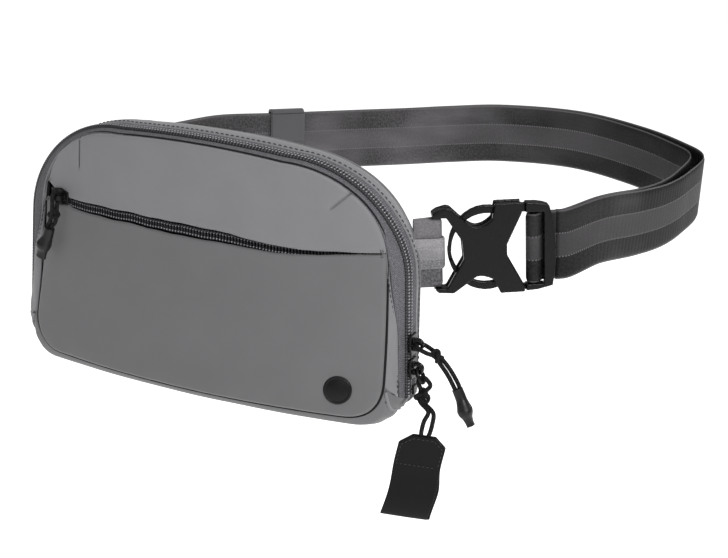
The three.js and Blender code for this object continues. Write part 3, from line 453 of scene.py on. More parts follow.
def ring_faces(low, high, sides):
    """Quads between two rings of vertices that start at low and at high."""
    return [(low + i, low + (i + 1) % sides, high + (i + 1) % sides, high + i) for i in range(sides)]


def riding_mesh(name, verts, faces, slot, look, body):
    mesh = bpy.data.meshes.new(name)
    mesh.from_pydata([tuple(v) for v in verts], [], faces)
    piece = new_object(name, mesh, slot, look)
    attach(piece, body)
    return piece


def smoothstep(value, low, high):
    t = min(1.0, max(0.0, (value - low) / (high - low)))
    return t * t * (3 - 2 * t)


def wobble(x, y, z, scale, seed=0.0):
    return noise.noise(Vector((x / scale + seed, y / scale, z / scale)))


# ---- the bag's outline, as in the frame ----
# Half-width, taper, foot, foot corner, top, arch, and the shoulder's two radii.
FRONT_RIM = (106, 3.6, -65, 19.4, 65, 2.8, 54, 46)
ZIP_RIM = (112, 2.96, -68.5, 11, 67.8, 2.4, 62, 60)
BACK_RIM = (111, 3.6, -67, 11, 64.6, 2, 58, 52)
LEFT_SWELL, SWELL_LOST = 0.09, 0.45
SQUARE_CORNER = 0.78  # under 1, the front panels' lower right corner is squarer than a quarter circle
ZIP_PULLED = (2.6, 1.0)  # how far the worn bag's zip lies forward and inward round the shoulders and top
SHOULDER_SAG = (3.0, 1.2)  # how far the back edge of the right shoulder sags in and down
# Stations run from 0, the middle of the foot, round the base corner, the side and the shoulder to the
# middle of the top.
CORNER_START, FOOT, SIDE_TOP, SHOULDER_TOP, TOP_STATION = 5, 10, 17, 26, 30
FRONT_Y, FRONT_BEND = -40.3, 361  # the front's middle, and the radius it is curved to across the bag
FRONT_CROWN, CROWN_HALF = 5.8, 65  # the front comes 5.8 further forward at 65 above and below its middle
BACK_FLAT, BACK_WRAP, WRAP_OVER = 35, 8, 75  # the back is flat to 35, then wraps back 8 over the next 75
ZIP_Y, ZIP_SWEEP, ZIP_HALF = -33, 18.9, 112  # the zip's depth in the middle, and how far its sides run back
ZIP_LEAN, ZIP_LEAN_TOP = 0.0746, 70  # the zip runs back as it comes down from this height
FOLD_Y, TAPE_HALF = -4, 9
LIP_END = 91


def front_y(x, z):
    bent = FRONT_BEND - math.sqrt(FRONT_BEND ** 2 - x * x)
    return FRONT_Y + bent - FRONT_CROWN * (z / CROWN_HALF) ** 2


def back_y(x):
    return BACK_WRAP * (max(0, abs(x) - BACK_FLAT) / WRAP_OVER) ** 2


def zip_y(x, z):
    return ZIP_Y + ZIP_SWEEP * (x / ZIP_HALF) ** 2 + ZIP_LEAN * (ZIP_LEAN_TOP - z)


def rim_at(rim, t):
    """The outline's x and z at a station. Negative stations are on the left."""
    width, taper, foot, corner, top, arch, rx, rz = rim
    s, sign = abs(t), (1 if t >= 0 else -1)
    inner, base_x, base_z, side_z = width - taper - rx, width - corner, foot + corner, top - rz
    if s <= CORNER_START:
        x, z = base_x * s / CORNER_START, foot
    elif s <= FOOT:
        a = -math.pi / 2 * (1 - (s - CORNER_START) / (FOOT - CORNER_START))
        power = SQUARE_CORNER if rim is FRONT_RIM and t > 0 else 1
        x = base_x + corner * max(0, math.cos(a)) ** power
        z = base_z - corner * max(0, -math.sin(a)) ** power
    elif s <= SIDE_TOP:
        f = (s - FOOT) / (SIDE_TOP - FOOT)
        x, z = width - taper * f, base_z + (side_z - base_z) * f
    elif s <= SHOULDER_TOP:
        a = math.pi / 2 * (s - SIDE_TOP) / (SHOULDER_TOP - SIDE_TOP)
        x, z = inner + rx * math.cos(a), side_z + rz * math.sin(a)
    else:
        f = (s - SHOULDER_TOP) / (TOP_STATION - SHOULDER_TOP)
        x = inner * (1 - f) ** 2 + inner * f * (1 - f)
        z = top * (1 - f) ** 2 + (top + arch) * (2 * f * (1 - f) + f * f)
    return sign * x, z


def rim_out(rim, t):
    """The way out from the outline at a station."""
    e = 0.05
    a, b = rim_at(rim, max(t - e, -TOP_STATION)), rim_at(rim, min(t + e, TOP_STATION))
    if t > TOP_STATION - e or t < -TOP_STATION + e:
        return Vector((0, 0, 1))
    d = Vector((b[0] - a[0], 0, b[1] - a[1])).normalized()
    return Vector((d.z, 0, -d.x))


class Station:
    """A place on the outline, with its points on the front seam, the zip and the back seam."""

    def __init__(self, t):
        self.t = t
        (fx, fz), (zx, zz), (bx, bz) = (rim_at(r, t) for r in (FRONT_RIM, ZIP_RIM, BACK_RIM))
        self.front = Vector((fx, front_y(fx, fz), fz))
        risen = smoothstep(zz, ZIP_RIM[2], ZIP_RIM[2] + ZIP_RIM[3])
        risen *= 1 - SWELL_LOST * smoothstep(zz, 0, ZIP_RIM[4])
        swell = 1 + LEFT_SWELL * risen * (t < 0)
        self.zip = Vector((zx * swell, zip_y(zx, zz) if abs(t) >= FOOT else FOLD_Y, zz))
        self.back = Vector((bx, back_y(bx), bz))
        self.out = rim_out(ZIP_RIM, t)
        pulled = smoothstep(abs(t), SIDE_TOP - 0.5, SIDE_TOP + 4)
        self.zip += Vector((0, -ZIP_PULLED[0], 0)) * pulled - self.out * ZIP_PULLED[1] * pulled
        sag = smoothstep(t, SIDE_TOP - 1, SIDE_TOP + 3) * (1 - smoothstep(t, SIDE_TOP + 7, SIDE_TOP + 11))
        self.back -= Vector((SHOULDER_SAG[0], 0, SHOULDER_SAG[1])) * sag

    def wall(self, y, lift=0.0):
        """A point on the wall at a depth, lifted out from its face."""
        cover = y < self.zip.y
        a, b = (self.front, self.zip) if cover else (self.zip, self.back)
        share = (y - a.y) / (b.y - a.y)
        at = a.lerp(b, 1 - (1 - share) ** 2 if cover else share)
        at.y = y
        return at + self.out * lift


def stations(first, last, count):
    """Stations from first to last. Past the top, numbers go on to the left foot."""
    return [Station(t if t <= TOP_STATION else t - 2 * TOP_STATION) for t in np.linspace(first, last, count)]


OVER = stations(FOOT, 2 * TOP_STATION - FOOT, 330)
UNDER = stations(-FOOT, FOOT, 170)
SEAM = 2.1  # the cover's wall starts this far behind the front panel's face


def tape_reach(s):
    """How far the cover's tape shows: up to the front seam where the wall beside it is narrow."""
    wall = s.zip.y - TAPE_HALF - (s.front.y + SEAM)
    narrow = 1 - smoothstep(wall, 3.4, 6.5)
    if s.t < 0:
        narrow = max(narrow, smoothstep(s.zip.z, 20, 34))
    return TAPE_HALF + (wall + 0.9) * narrow - 0.1


# ---- front panels ----
YOKE_LIP = [(-106, 30.5), (-100.7, 29.5), (-96, 26.6), (-92, 24.2), (-88.6, 22.9), (-70, 23.2), (-40, 23.8),
            (0, 23.6), (20, 23.2), (32, 21.7), (45, 20.8), (60, 20.4), (75, 21.6), (88, 22.5), (106, 24.2)]
POCKET_LIP = [(-106, 19.8), (-96, 20.6), (-90, 21.2), (-86, 19.6), (-82, 18.0), (-70, 17.4), (-40, 17.8),
              (-10, 17.0), (26, 17.4), (45, 16.9), (55, 17.5), (66, 18.8), (77, 20.2), (88, 21.8),
              (106, 23.6)]


def lip_z(lip, x):
    xs, zs = zip(*lip)
    ripple = 0.45 * wobble(x, 0, 0, 11, 4.2) * smoothstep(LIP_END - abs(x), 0, 20)
    return float(np.interp(x, xs, zs)) + ripple


def panel_points(lip, side, columns, rows, relief):
    """A front panel from its rolled lip to its rolled seam. side is 1 above the pocket zip, -1 below it."""
    ends = []
    for sign in (-1, 1):
        height = lip_z(lip, sign * 105)
        tries = ((abs(rim_at(FRONT_RIM, sign * t)[1] - height), t) for t in np.arange(15, 22, 0.01))
        ends.append(min(tries)[1])
    if side > 0:
        ts = np.linspace(2 * TOP_STATION - ends[0], ends[1], 500)
    else:
        ts = np.linspace(-ends[0], ends[1], 500)
    fold = [t if t <= TOP_STATION else t - 2 * TOP_STATION for t in ts]
    rim = spaced([(*rim_at(FRONT_RIM, t), 0) for t in fold], columns)[:, :2]
    along = np.gradient(rim, axis=0)
    along /= np.linalg.norm(along, axis=1)[:, None]
    out = np.stack([along[:, 1], -along[:, 0]], 1) * (-1 if side > 0 else 1)
    seam_r, lip_r = 1.7, 1.25
    xs = np.linspace(rim[0, 0] + 0.6, rim[-1, 0] - 0.6, columns)
    zs = np.array([lip_z(lip, x) for x in xs])
    made = []

    def row(x, z, depth):
        made.append([(a, front_y(a, b) + d - relief(a, b), b) for a, b, d in zip(x, z, depth)])

    for angle in np.linspace(math.pi * 1.15, 0.15, 8):
        row(xs, zs + side * lip_r * (1 - math.sin(angle)), np.full(columns, lip_r * (1 - math.cos(angle))))
    inner_x, inner_z = rim[:, 0] - seam_r * out[:, 0], rim[:, 1] - seam_r * out[:, 1]
    for v in np.linspace(0, 1, rows) ** 0.9:
        row(xs * (1 - v) + inner_x * v, (zs + side * lip_r) * (1 - v) + inner_z * v, np.zeros(columns))
    for angle in np.linspace(0.2, 2.1, 8):
        reach = seam_r * math.sin(angle)
        row(inner_x + reach * out[:, 0], inner_z + reach * out[:, 1],
            np.full(columns, seam_r * (1 - math.cos(angle))))
    return made


RIM_LINE = np.array([rim_at(FRONT_RIM, t) for t in np.linspace(-TOP_STATION, TOP_STATION, 600)])


def from_rim(x, z):
    return float(np.sqrt(((RIM_LINE - (x, z)) ** 2).sum(1)).min())


def groove(x, z, a, b, width, depth):
    """A sewn dart from a to b: a sharp line with a soft dip round it."""
    ax, az, bx, bz = *a, *b
    run = math.hypot(bx - ax, bz - az)
    share = ((x - ax) * (bx - ax) + (z - az) * (bz - az)) / run ** 2
    off = abs((x - ax) * (bz - az) - (z - az) * (bx - ax)) / run
    window = smoothstep(share, -0.12, 0.05) * (1 - smoothstep(share, 0.85, 1.05))
    return depth * window * (math.exp(-(off / width) ** 2) + 0.3 * math.exp(-(off / (6 * width)) ** 2))


# Sewn darts: each from its mouth at the panel's edge to its point, with its share of the full depth.
DARTS = [((-71.5, 63.2), (-75.2, 60.8), 0.8), ((-75.3, 61.3), (-75.9, 40.5), 1.0),
         ((85.5, 55.5), (73.2, 43.6), 0.8)]
DART_WIDTH, DART_DEPTH, DART_REACH = 0.5, 1.6, 2.6


def cut_darts(piece):
    """Refines a panel's mesh round its darts and presses them in."""
    bm = bmesh.new()
    bm.from_mesh(piece.data)

    def nearest(at):
        return min(segment_gap(at.x / MM, at.z / MM, a, b) for a, b, _ in DARTS)

    for _ in range(2):
        edges = [e for e in bm.edges if nearest((e.verts[0].co + e.verts[1].co) / 2) < DART_REACH]
        bmesh.ops.subdivide_edges(bm, edges=edges, cuts=1, use_grid_fill=True)
    for v in bm.verts:
        x, z = v.co.x / MM, v.co.z / MM
        if nearest(v.co) < 12 and v.co.y < (front_y(x, z) + 1) * MM:
            v.co.y += max(groove(x, z, a, b, DART_WIDTH, DART_DEPTH * k) for a, b, k in DARTS) * MM
    bm.to_mesh(piece.data)
    bm.free()


def segment_gap(x, z, a, b):
    """How far a point lies from the stretch between a and b."""
    dx, dz = b[0] - a[0], b[1] - a[1]
    share = ((x - a[0]) * dx + (z - a[1]) * dz) / (dx ** 2 + dz ** 2)
    share = min(1, max(0, share))
    return math.hypot(x - a[0] - share * dx, z - a[1] - share * dz)


def cloth_relief(x, z):
    edge = from_rim(x, z)
    pillow = 1.3 * (1 - math.exp(-edge / 9))
    broad = 0.8 * wobble(x, 0, z, 48, 1.3) * smoothstep(edge, 0, 18)
    pucker = 0.32 * wobble(x, 3, z, 7.5, 8.1) * math.exp(-edge / 7)
    return pillow + broad + pucker


def yoke_relief(x, z):
    above = z - lip_z(YOKE_LIP, x)
    drape = 0.7 * wobble(x, 9, z, 16, 2.7) * math.exp(-above / 12) * smoothstep(above, -1, 4)
    return cloth_relief(x, z) + drape


def pocket_relief(x, z):
    below = lip_z(POCKET_LIP, x) - z
    pull = 0.5 * wobble(x, 5, z / 3, 13, 6.4) * math.exp(-max(0, below) / 14)
    slack = 1.2 * math.exp(-((below - 34) / 30) ** 2) * smoothstep(106 - abs(x), 0, 40)
    return cloth_relief(x, z) + pull + slack


def flat_uvs(rows):
    return [(p[0] * MM, p[2] * MM) for row in rows for p in row]


COLUMNS, ROWS = ((260, 64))
for name, lip, side, relief, node, slot in (
        ("yoke_panel", YOKE_LIP, 1, yoke_relief, "yoke", "fabric"),
        ("pocket_front", POCKET_LIP, -1, pocket_relief, "pocket_panel", "fabric_dark")):
    rows = panel_points(lip, side, COLUMNS, ROWS, relief)
    piece = outward(grid(name, rows, slot, uvs=flat_uvs(rows)), (0, 200, 0))
    if name == "yoke_panel":
        cut_darts(piece)
        piece.data.polygons.foreach_set("use_smooth", [True] * len(piece.data.polygons))
    thickened(piece, 0.9)
    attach(piece, "front_cover")
    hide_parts(node)


# ---- walls beside the zip ----
def band(name, wall_stations, depths, slot, body, nodes, lifts=None, look=None, thick=1.0):
    """Cloth round the wall between depths(s), one depth per row across, each lifted by lifts(s, j, n, y).

    j counts the n depths of a row and y is the depth.
    """
    rows = []
    for s in wall_stations:
        ys = depths(s)
        rows.append([s.wall(y, lifts(s, j, len(ys), y) if lifts else 0.0) for j, y in enumerate(ys)])
    piece = outward(grid(name, rows, slot, look), (0, -15, 0))
    if thick:
        thickened(piece, thick)
    if body:
        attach(piece, body)
    if nodes:
        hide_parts(*nodes)
    return piece


def edge_roll(share, depth):
    """Both edges of a strip turn in towards their seams."""
    return -depth * (math.exp(-share / 0.06) + math.exp(-(1 - share) / 0.06))


def spread_over(low, high, count, ease=0.35):
    even = np.linspace(0, 1, count)
    turned = (1 - np.cos(np.pi * even)) / 2
    return low + (high - low) * ((1 - ease) * even + ease * turned)


def gusset_lift(s, j, n, y):
    share = j / (n - 1)
    at = s.wall(y)
    corner = math.exp(-((abs(s.t) - FOOT - 0.6) / 1.1) ** 2)
    width = s.zip.y - TAPE_HALF - s.front.y - SEAM
    soft = 0.5 * wobble(at.x, y, at.z, 22, 3.3) + 0.5 * corner * math.sin(y * 0.9 + s.t * 3)
    swell = (0.7 + soft) * math.sin(math.pi * share) * smoothstep(width, 1, 8)
    return edge_roll(share, 1.0) + swell - 1.3 * (1 - smoothstep(width, 3.4, 6))


def cover_side_depths(s):
    return spread_over(s.front.y + SEAM, max(s.zip.y - tape_reach(s) - 0.3, s.front.y + SEAM + 0.5), 18)


BASE_BELLY = 3.9  # how far the base hangs below its seams


def base_lift(s, j, n, y):
    share = j / (n - 1)
    at = s.wall(y)
    corner = math.exp(-((abs(s.t) - 8.2) / 1.3) ** 2)
    sag = 0.5 * wobble(at.x, y, at.z, 30, 5.5)
    fold = corner * (0.45 * math.sin(s.t * 4 + y * 0.2) + 0.3 * math.sin(y * 0.4))
    belly = BASE_BELLY * smoothstep(share, 0, 0.16) * (1 - smoothstep(share, 0.3, 0.95))
    belly *= 1 - smoothstep(abs(s.t), 6.5, FOOT)
    return -1.0 * math.exp(-share / 0.03) + (sag + fold) * math.sin(math.pi * share) + belly


band("cover_side_cloth", OVER, cover_side_depths, "fabric", "front_cover",
     ["cover_gusset_left", "cover_gusset_right", "cover_gusset_top"], gusset_lift)
band("cover_base_cloth", UNDER, lambda s: spread_over(s.front.y + SEAM, FOLD_Y - 1.4, 36), "fabric_dark",
     "front_cover", ["cover_base", "cover_base_corner_left", "cover_base_corner_right"], base_lift)


REAR_RISE = 1.6  # the rear tape and the cloth sewn to it ride up this far beside the coil


def rear_lift(s, j, n, y):
    share = j / (n - 1)
    at = s.wall(y)
    puff = 1.0 + 1.6 * smoothstep(s.zip.z, 20, 60) + 0.5 * wobble(at.x, y, at.z, 20, 7.7)
    return edge_roll(share, 0.8) + puff * math.sin(math.pi * share) + REAR_RISE * (1 - share) ** 2


band("rear_side_cloth", OVER, lambda s: spread_over(s.zip.y + TAPE_HALF + 0.2, s.back.y - 0.4, 16), "fabric",
     "back", ["rear_gusset_left", "rear_gusset_right", "rear_gusset_top"], rear_lift)
band("rear_base_cloth", UNDER, lambda s: spread_over(FOLD_Y + 1.2, s.back.y - 0.4, 8), "fabric_dark", "back",
     ["rear_base_strip"], lambda s, j, n, y: -0.6 * math.exp(-(1 - j / (n - 1)) / 0.08))

# A near-black tube in the seam where the front panels are sewn to the wall behind them: painted shadow for
# the crease there.
seam_loop = [Station(t) for t in np.linspace(-TOP_STATION, TOP_STATION, 420)]
seam_line = [s.front + Vector((0, SEAM + 0.15, 0)) + rim_out(FRONT_RIM, s.t) * 0.3 for s in seam_loop]
painted_seam_shadow = grid("front_seam_painted_shadow", tube_rows(seam_line, 0.75, 8), "fabric", "painted_shadow_line", closed=True)
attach(outward(painted_seam_shadow, (0, 0, 0)), "front_cover")

# The cloth at the fold between cover and back.
fold_web = band("fold_web", UNDER, lambda s: np.linspace(FOLD_Y - 2.2, FOLD_Y + 2.0, 9), "fabric_dark", None,
                [], lambda s, j, n, y: -0.25, thick=0.6)
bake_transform(fold_web)

# The welt where the cover's side is sewn to its base, sagging between the front seam and the zip's end.
CORNER_SEWING = []
WELT_RADIUS = 0.85
for side, label in ((1, "right"), (-1, "left")):
    welt_line, welt_out, welt_sewing = [], [], []
    for share in np.linspace(0, 1, 40):
        s = Station(side * (FOOT - 0.2 - 1.5 * math.sin(math.pi * share)))
        y = s.front.y + SEAM + 0.3 + share * (zip_y(*rim_at(ZIP_RIM, FOOT)) - 1.2 - s.front.y - SEAM)
        welt_line.append(s.wall(y, 0.55))
        below = Station(side * (s.t * side - 0.55))
        welt_sewing.append(below.wall(y, 0.75))
        welt_out.append(s.out)
    welt = grid(f"corner_welt_{label}", tube_rows(welt_line, WELT_RADIUS, 10), "fabric", closed=True)
    outward(welt, welt_line[20])
    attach(welt, "front_cover")
    CORNER_SEWING.append((label, welt_sewing, welt_out))

# Piping round the back seam.
back_edge = [Station(t) for t in np.linspace(-TOP_STATION, TOP_STATION, 300)]
piping_line = [s.wall(s.back.y + 0.2, 0.2) for s in back_edge]
piping = outward(grid("back_piping", tube_rows(piping_line, 1.3, 8), "fabric_dark", closed=True), (0, 0, 0))
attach(piping, "back")


# ---- sewing ----
# One stitch: share of its length, share of the thread's thickness, and lift off the cloth in mm.
STITCH_PROFILE = ((0, 0.45, -0.15), (0.25, 1, 0.12), (0.75, 1, 0.12), (1, 0.45, -0.15))
THREAD_SIDES = 6


def stitches(name, line, outs, body, pitch=3.0, long=2.0, radius=0.26, slot="fabric"):
    """A run of lock stitches along a line in mm. outs gives the way out from the cloth at each point."""
    guide = Guide(line, outs)
    verts, faces = [], []
    for start in np.arange(pitch / 2, guide.end - long, pitch):
        ring = len(verts)
        for share, thick, lift in STITCH_PROFILE:
            d = start + share * long
            p, o = guide.place(d), guide.out(d)
            ahead = (guide.place(min(d + 0.3, guide.end)) - guide.place(max(d - 0.3, 0))).normalized()
            side = ahead.cross(o).normalized()
            wide = radius * thick
            verts += [(p + o * (lift + wide * math.sin(a)) + side * wide * math.cos(a)) * MM
                      for a in np.linspace(0, math.tau, THREAD_SIDES, endpoint=False)]
        last = ring + THREAD_SIDES * (len(STITCH_PROFILE) - 1)
        for low in range(ring, last, THREAD_SIDES):
            faces += ring_faces(low, low + THREAD_SIDES, THREAD_SIDES)
        faces.append(tuple(ring + i for i in reversed(range(THREAD_SIDES))))
        faces.append(tuple(last + i for i in range(THREAD_SIDES)))
    return riding_mesh(name, verts, faces, slot, "thread", body)


for side, label in ((1, "right"), (-1, "left")):
    shown = [s for s in OVER if s.zip.y - TAPE_HALF - s.front.y - SEAM > 4.4 and s.t * side > 0]
    stitches(f"stitch_cover_{label}", [s.wall(s.zip.y - tape_reach(s) - 2.0, 0.15) for s in shown],
             [s.out for s in shown], "front_cover")
for label, line, outs in CORNER_SEWING:
    stitches(f"stitch_corner_{label}", line, outs, "front_cover")
stitches("stitch_rear", [s.wall(s.zip.y + TAPE_HALF + 2.4, REAR_RISE + 0.9) for s in OVER],
         [s.out for s in OVER], "back")


# ---- main zip ----
TAPE_TUCK = 1.2  # how far the rear tape runs in under the cloth sewn to it


def tape_rows(side, reach):
    rows = []
    for s in OVER:
        far = reach(s)
        aways = [0.7, 1.4, 2.5, 3.4, 4.2, 5.2, 6.4, 7.6, 8.4, far - 0.3, far]
        heights = [0.0, 0.1, 0.2, 0.2, 0.1, 0.1, 0.1 + 0.06 * wobble(s.t, side, 0, 0.8), 0.1, 0.1, 0, -0.6]
        if side > 0:
            heights = [h + REAR_RISE * smoothstep(a, 2.5, 8.6) for h, a in zip(heights, aways)]
        rows.append([s.wall(s.zip.y + side * min(a, far), h) for a, h in zip(aways, heights)])
    return rows


for side, label, body, reach in ((-1, "cover", "front_cover", tape_reach),
                                 (1, "rear", "back", lambda s: TAPE_HALF + TAPE_TUCK)):
    piece = outward(grid(f"zip_tape_{label}_cloth", tape_rows(side, reach), "zip_tape"), (0, -15, 0))
    thickened(piece, 0.6)
    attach(piece, body)
    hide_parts(f"zip_tape_{label}")


COIL_PITCH, COIL_WIRE = 1.75, 0.42
BEAD_SIDES = 8


def coil_teeth(name, line, outs, sides, body, node, near, far, low, high, look="zip_coil"):
    """A nylon coil: one flattened loop per tooth from the meeting line out over the tape.

    sides gives the way from the meeting line to this row's tape at each point of the line.
    """
    guide = Guide(line, outs, sides)
    quarter, middle = 0.25 * (high - low), (low + high) / 2
    profile = [(near, low + quarter), (near - 0.25, middle), (near, high - quarter), (near + 0.6, high),
               ((near + far) / 2, high * 0.97), (far - 0.5, high * 0.8), (far, middle), (far - 0.4, low),
               ((near + far) / 2, low), (near + 0.6, low)]
    verts, faces = [], []
    for start in np.arange(COIL_PITCH / 2, guide.end, COIL_PITCH):
        p, o, s = guide.place(start), guide.out(start), guide.side(start)
        ahead = s.cross(o).normalized()
        ring = len(verts)
        count = len(profile)
        for k, (away, height) in enumerate(profile):
            before, after = profile[k - 1], profile[(k + 1) % count]
            ta, th = after[0] - before[0], after[1] - before[1]
            size = math.hypot(ta, th)
            na, nh = th / size, -ta / size
            centre = p + s * away + o * height
            normal = s * na + o * nh
            verts += [(centre + normal * COIL_WIRE * math.cos(a) + ahead * COIL_WIRE * math.sin(a)) * MM
                      for a in np.linspace(0, math.tau, THREAD_SIDES, endpoint=False)]
        for k in range(count):
            after = (k + 1) % count
            faces += ring_faces(ring + THREAD_SIDES * k, ring + THREAD_SIDES * after, THREAD_SIDES)
    piece = riding_mesh(name, verts, faces, "zip_coil", look, body)
    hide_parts(node)
    return piece


def zip_side(s, side):
    return (s.wall(s.zip.y + side * 3.0) - s.wall(s.zip.y)).normalized()


def coil_crowns(name, line, outs, sides, body, away, height, size):
    """The crowns of a coil's turns: a row of small pale beads, painted highlights where the turns catch the
    light.
    """
    guide = Guide(line, outs, sides)
    verts, faces = [], []
    for start in np.arange(COIL_PITCH / 2, guide.end, COIL_PITCH):
        o, s = guide.out(start), guide.side(start)
        ahead = s.cross(o).normalized()
        centre = guide.place(start) + s * away + o * height
        base = len(verts)
        for level in (0, 0.7, 1):
            reach = size * math.sqrt(max(0, 1 - level ** 2))
            for a in np.linspace(0, math.tau, BEAD_SIDES, endpoint=False):
                side = ahead * math.cos(a) * reach * 0.8 + s * math.sin(a) * reach * 1.25
                verts.append((centre + side + o * level * size * 0.6) * MM)
        for low in (base, base + BEAD_SIDES):
            faces += ring_faces(low, low + BEAD_SIDES, BEAD_SIDES)
    return riding_mesh(name, verts, faces, "zip_coil", "coil_painted_glint", body)


# A sewn band over a coil, from its inner edge to its outer one: away from the zip's middle, and height.
COIL_BAND = ((1.0, 1.2), (1.15, 1.65), (1.6, 1.8), (2.2, 1.78), (2.8, 1.6), (3.3, 1.2), (3.5, 0.6),
             (3.45, 0.2))
for side, label, body in ((-1, "cover", "front_cover"), (1, "rear", "back")):
    shift = OVER[0].zip.lerp(OVER[1].zip, 0.45 if side > 0 else 0.0) - OVER[0].zip
    line = [s.wall(s.zip.y) + (shift if s is OVER[0] else Vector()) for s in OVER]
    outs, sides = [s.out for s in OVER], [zip_side(s, side) for s in OVER]
    coil_teeth(f"zip_coil_{label}_loops", line, outs, sides, body, f"zip_coil_{label}", -0.5, 3.1, 0.3, 1.5,
               "coil_turns")
    coil_crowns(f"zip_crowns_{label}", line, outs, sides, body, 2.0, 1.78, 0.55)
    band_rows = [[s.wall(s.zip.y + side * away, height) for away, height in COIL_BAND] for s in OVER]
    sewn = outward(grid(f"zip_cord_{label}", band_rows, "zip_coil"), (0, -15, 0))
    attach(sewn, body)


# ---- pocket zip ----
def pocket_zip_z(x):
    return (lip_z(YOKE_LIP, x) + lip_z(POCKET_LIP, x)) / 2 - 0.4


POCKET_RUN = np.linspace(-99, 93, 200)
POCKET_TAPE = ((0.4, -0.2), (1.2, -1.6), (2.0, -1.6), (2.7, -0.9), (3.2, 0.2), (6, 0.3), (8, 0.4))
pocket_zip = [Vector((x, front_y(x, 21) + 2.9, pocket_zip_z(x))) for x in POCKET_RUN]
for side, label in ((1, "upper"), (-1, "lower")):
    outs = [Vector((x / FRONT_BEND, -1, 0)).normalized() for x in POCKET_RUN]
    sides = [Vector((0, 0, side))] * len(outs)
    coil_teeth(f"pocket_coil_{label}_loops", pocket_zip, outs, sides, "front_cover", f"pocket_coil_{label}",
               -0.45, 2.2, 0.2, 1.6)
    coil_crowns(f"pocket_crowns_{label}", pocket_zip, outs, sides, "front_cover", 1.35, 1.85,
                0.4 if side < 0 else 0.28)
    tape = [[Vector((p.x, p.y + depth, p.z + side * away)) for away, depth in POCKET_TAPE]
            for p in pocket_zip]
    piece = outward(grid(f"pocket_tape_{label}_cloth", tape, "zip_tape", "zip_coil"), (0, 200, 0))
    thickened(piece, 0.4)
    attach(piece, "front_cover")
    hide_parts(f"pocket_tape_{label}")


# ---- inside and back: panels lofted from foot to top ----
def half_width_at(rim, z, inset):
    width, taper, foot, corner, top, arch, rx, rz = rim
    width, foot, top = width - inset, foot + inset, top - inset
    inner, side_z, base_z = width - taper - rx, top - rz, foot + corner
    if z > top:
        return inner * math.sqrt(max(0, 1 - (z - top) / arch))
    if z > side_z:
        return inner + rx * math.sqrt(max(0, 1 - ((z - side_z) / rz) ** 2))
    if z > base_z:
        return width - taper * (z - base_z) / (side_z - base_z)
    return width - corner + math.sqrt(max(0, corner ** 2 - (base_z - z) ** 2))


def lofted(name, rim, inset, low, high, face, slot, body, node, thick, seen_from=-400, columns=90, rows=60,
           look=None):
    foot, top = max(low, rim[2] + inset + 0.05), min(high, rim[4] + rim[5] - inset - 0.2)
    made = []
    for z in spread_over(foot, top, rows, 0.7):
        half = half_width_at(rim, z, inset)
        made.append([Vector((x, face(x, z), z)) for x in np.linspace(-half, half, columns)])
    piece = grid(name, made, slot, look, uvs=flat_uvs(made))
    outward(piece, (0, seen_from, 0))
    thickened(piece, thick)
    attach(piece, body)
    if node:
        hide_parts(node)
    return piece


def back_face(x, z):
    edge = min(1.0, max(0.0, (half_width_at(BACK_RIM, z, 0) - abs(x)) / 9)) * smoothstep(65 - abs(z), 0, 7)
    return back_y(x) - 0.5 * (1 - edge)


def pad_face(x, z):
    """The pad's inner face, with the dimples of its sewn channels."""
    channel = sum(math.exp(-((abs(x) - at) / 2.2) ** 2) for at in (0, 42, 78))
    return back_y(x) - 2.3 - 3.4 + 1.1 * channel


lofted("back_skin", BACK_RIM, 1.5, -99, 99, back_face, "fabric", "back", "back_panel", 1.2)
back_cushion = lofted("back_pad_lining", BACK_RIM, 5.6, -99, 99, pad_face, "foam", "back", "back_pad", 2.2,
                      400, look="lining")
lofted("inner_pocket_cloth", BACK_RIM, 15.6, -99, 10,
       lambda x, z: back_y(x) - 7.9 - 0.6 * smoothstep(z, -10, 10) * math.cos(x / 30) ** 2,
       "lining", "back", "inner_pocket", 0.6, 400)
lofted("pocket_backing_cloth", FRONT_RIM, 2.5, -99, 99,
       lambda x, z: front_y(x, z) + 6.1 + 0.5 * wobble(x, 0, z, 25),
       "lining", "front_cover", "pocket_backing", 0.7)


# ---- badge ----
def local_frame(at, out, up):
    out = Vector(out).normalized()
    up = Vector(up)
    up = (up - out * up.dot(out)).normalized()
    return Matrix((out, up.cross(out).normalized(), up)).transposed().to_4x4(), Vector(at)


def turned_piece(name, profile, turn, at, slot, sides=48):
    """A lathed piece: profile of (radius, height) along the frame's X."""
    rows = [[turn @ Vector((h, r * math.cos(a), r * math.sin(a))) + at
             for a in np.linspace(0, math.tau, sides, endpoint=False)] for r, h in profile]
    return outward(grid(name, rows, slot, closed=True), at)


badge_x, badge_z, badge_r = 84.5, -51, 7.6
BADGE_LIFT = 0.9
badge_slope_x = badge_x / math.sqrt(FRONT_BEND ** 2 - badge_x ** 2)
badge_out = Vector((badge_slope_x, -1, -2 * FRONT_CROWN * badge_z / CROWN_HALF ** 2)).normalized()
badge_turn, badge_at = local_frame((badge_x, front_y(badge_x, badge_z), badge_z), badge_out, (0, 0, 1))
rim_profile = [(badge_r, -0.6), (badge_r, 0.2), (badge_r - 0.12, 0.6), (badge_r - 0.45, 0.95),
               (badge_r - 0.9, 1.1), (badge_r - 1.2, 1.02), (badge_r - 1.35, 0.9), (badge_r - 1.6, 0.95),
               (badge_r - 2.4, 1.15), (badge_r - 4, 1.4), (badge_r - 6, 1.55), (0.4, 1.6), (0.01, 1.6)]
badge = turned_piece("badge_disc", [(r, h + BADGE_LIFT) for r, h in rim_profile], badge_turn, badge_at,
                     "badge_rubber")
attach(badge, "front_cover")
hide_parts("badge")

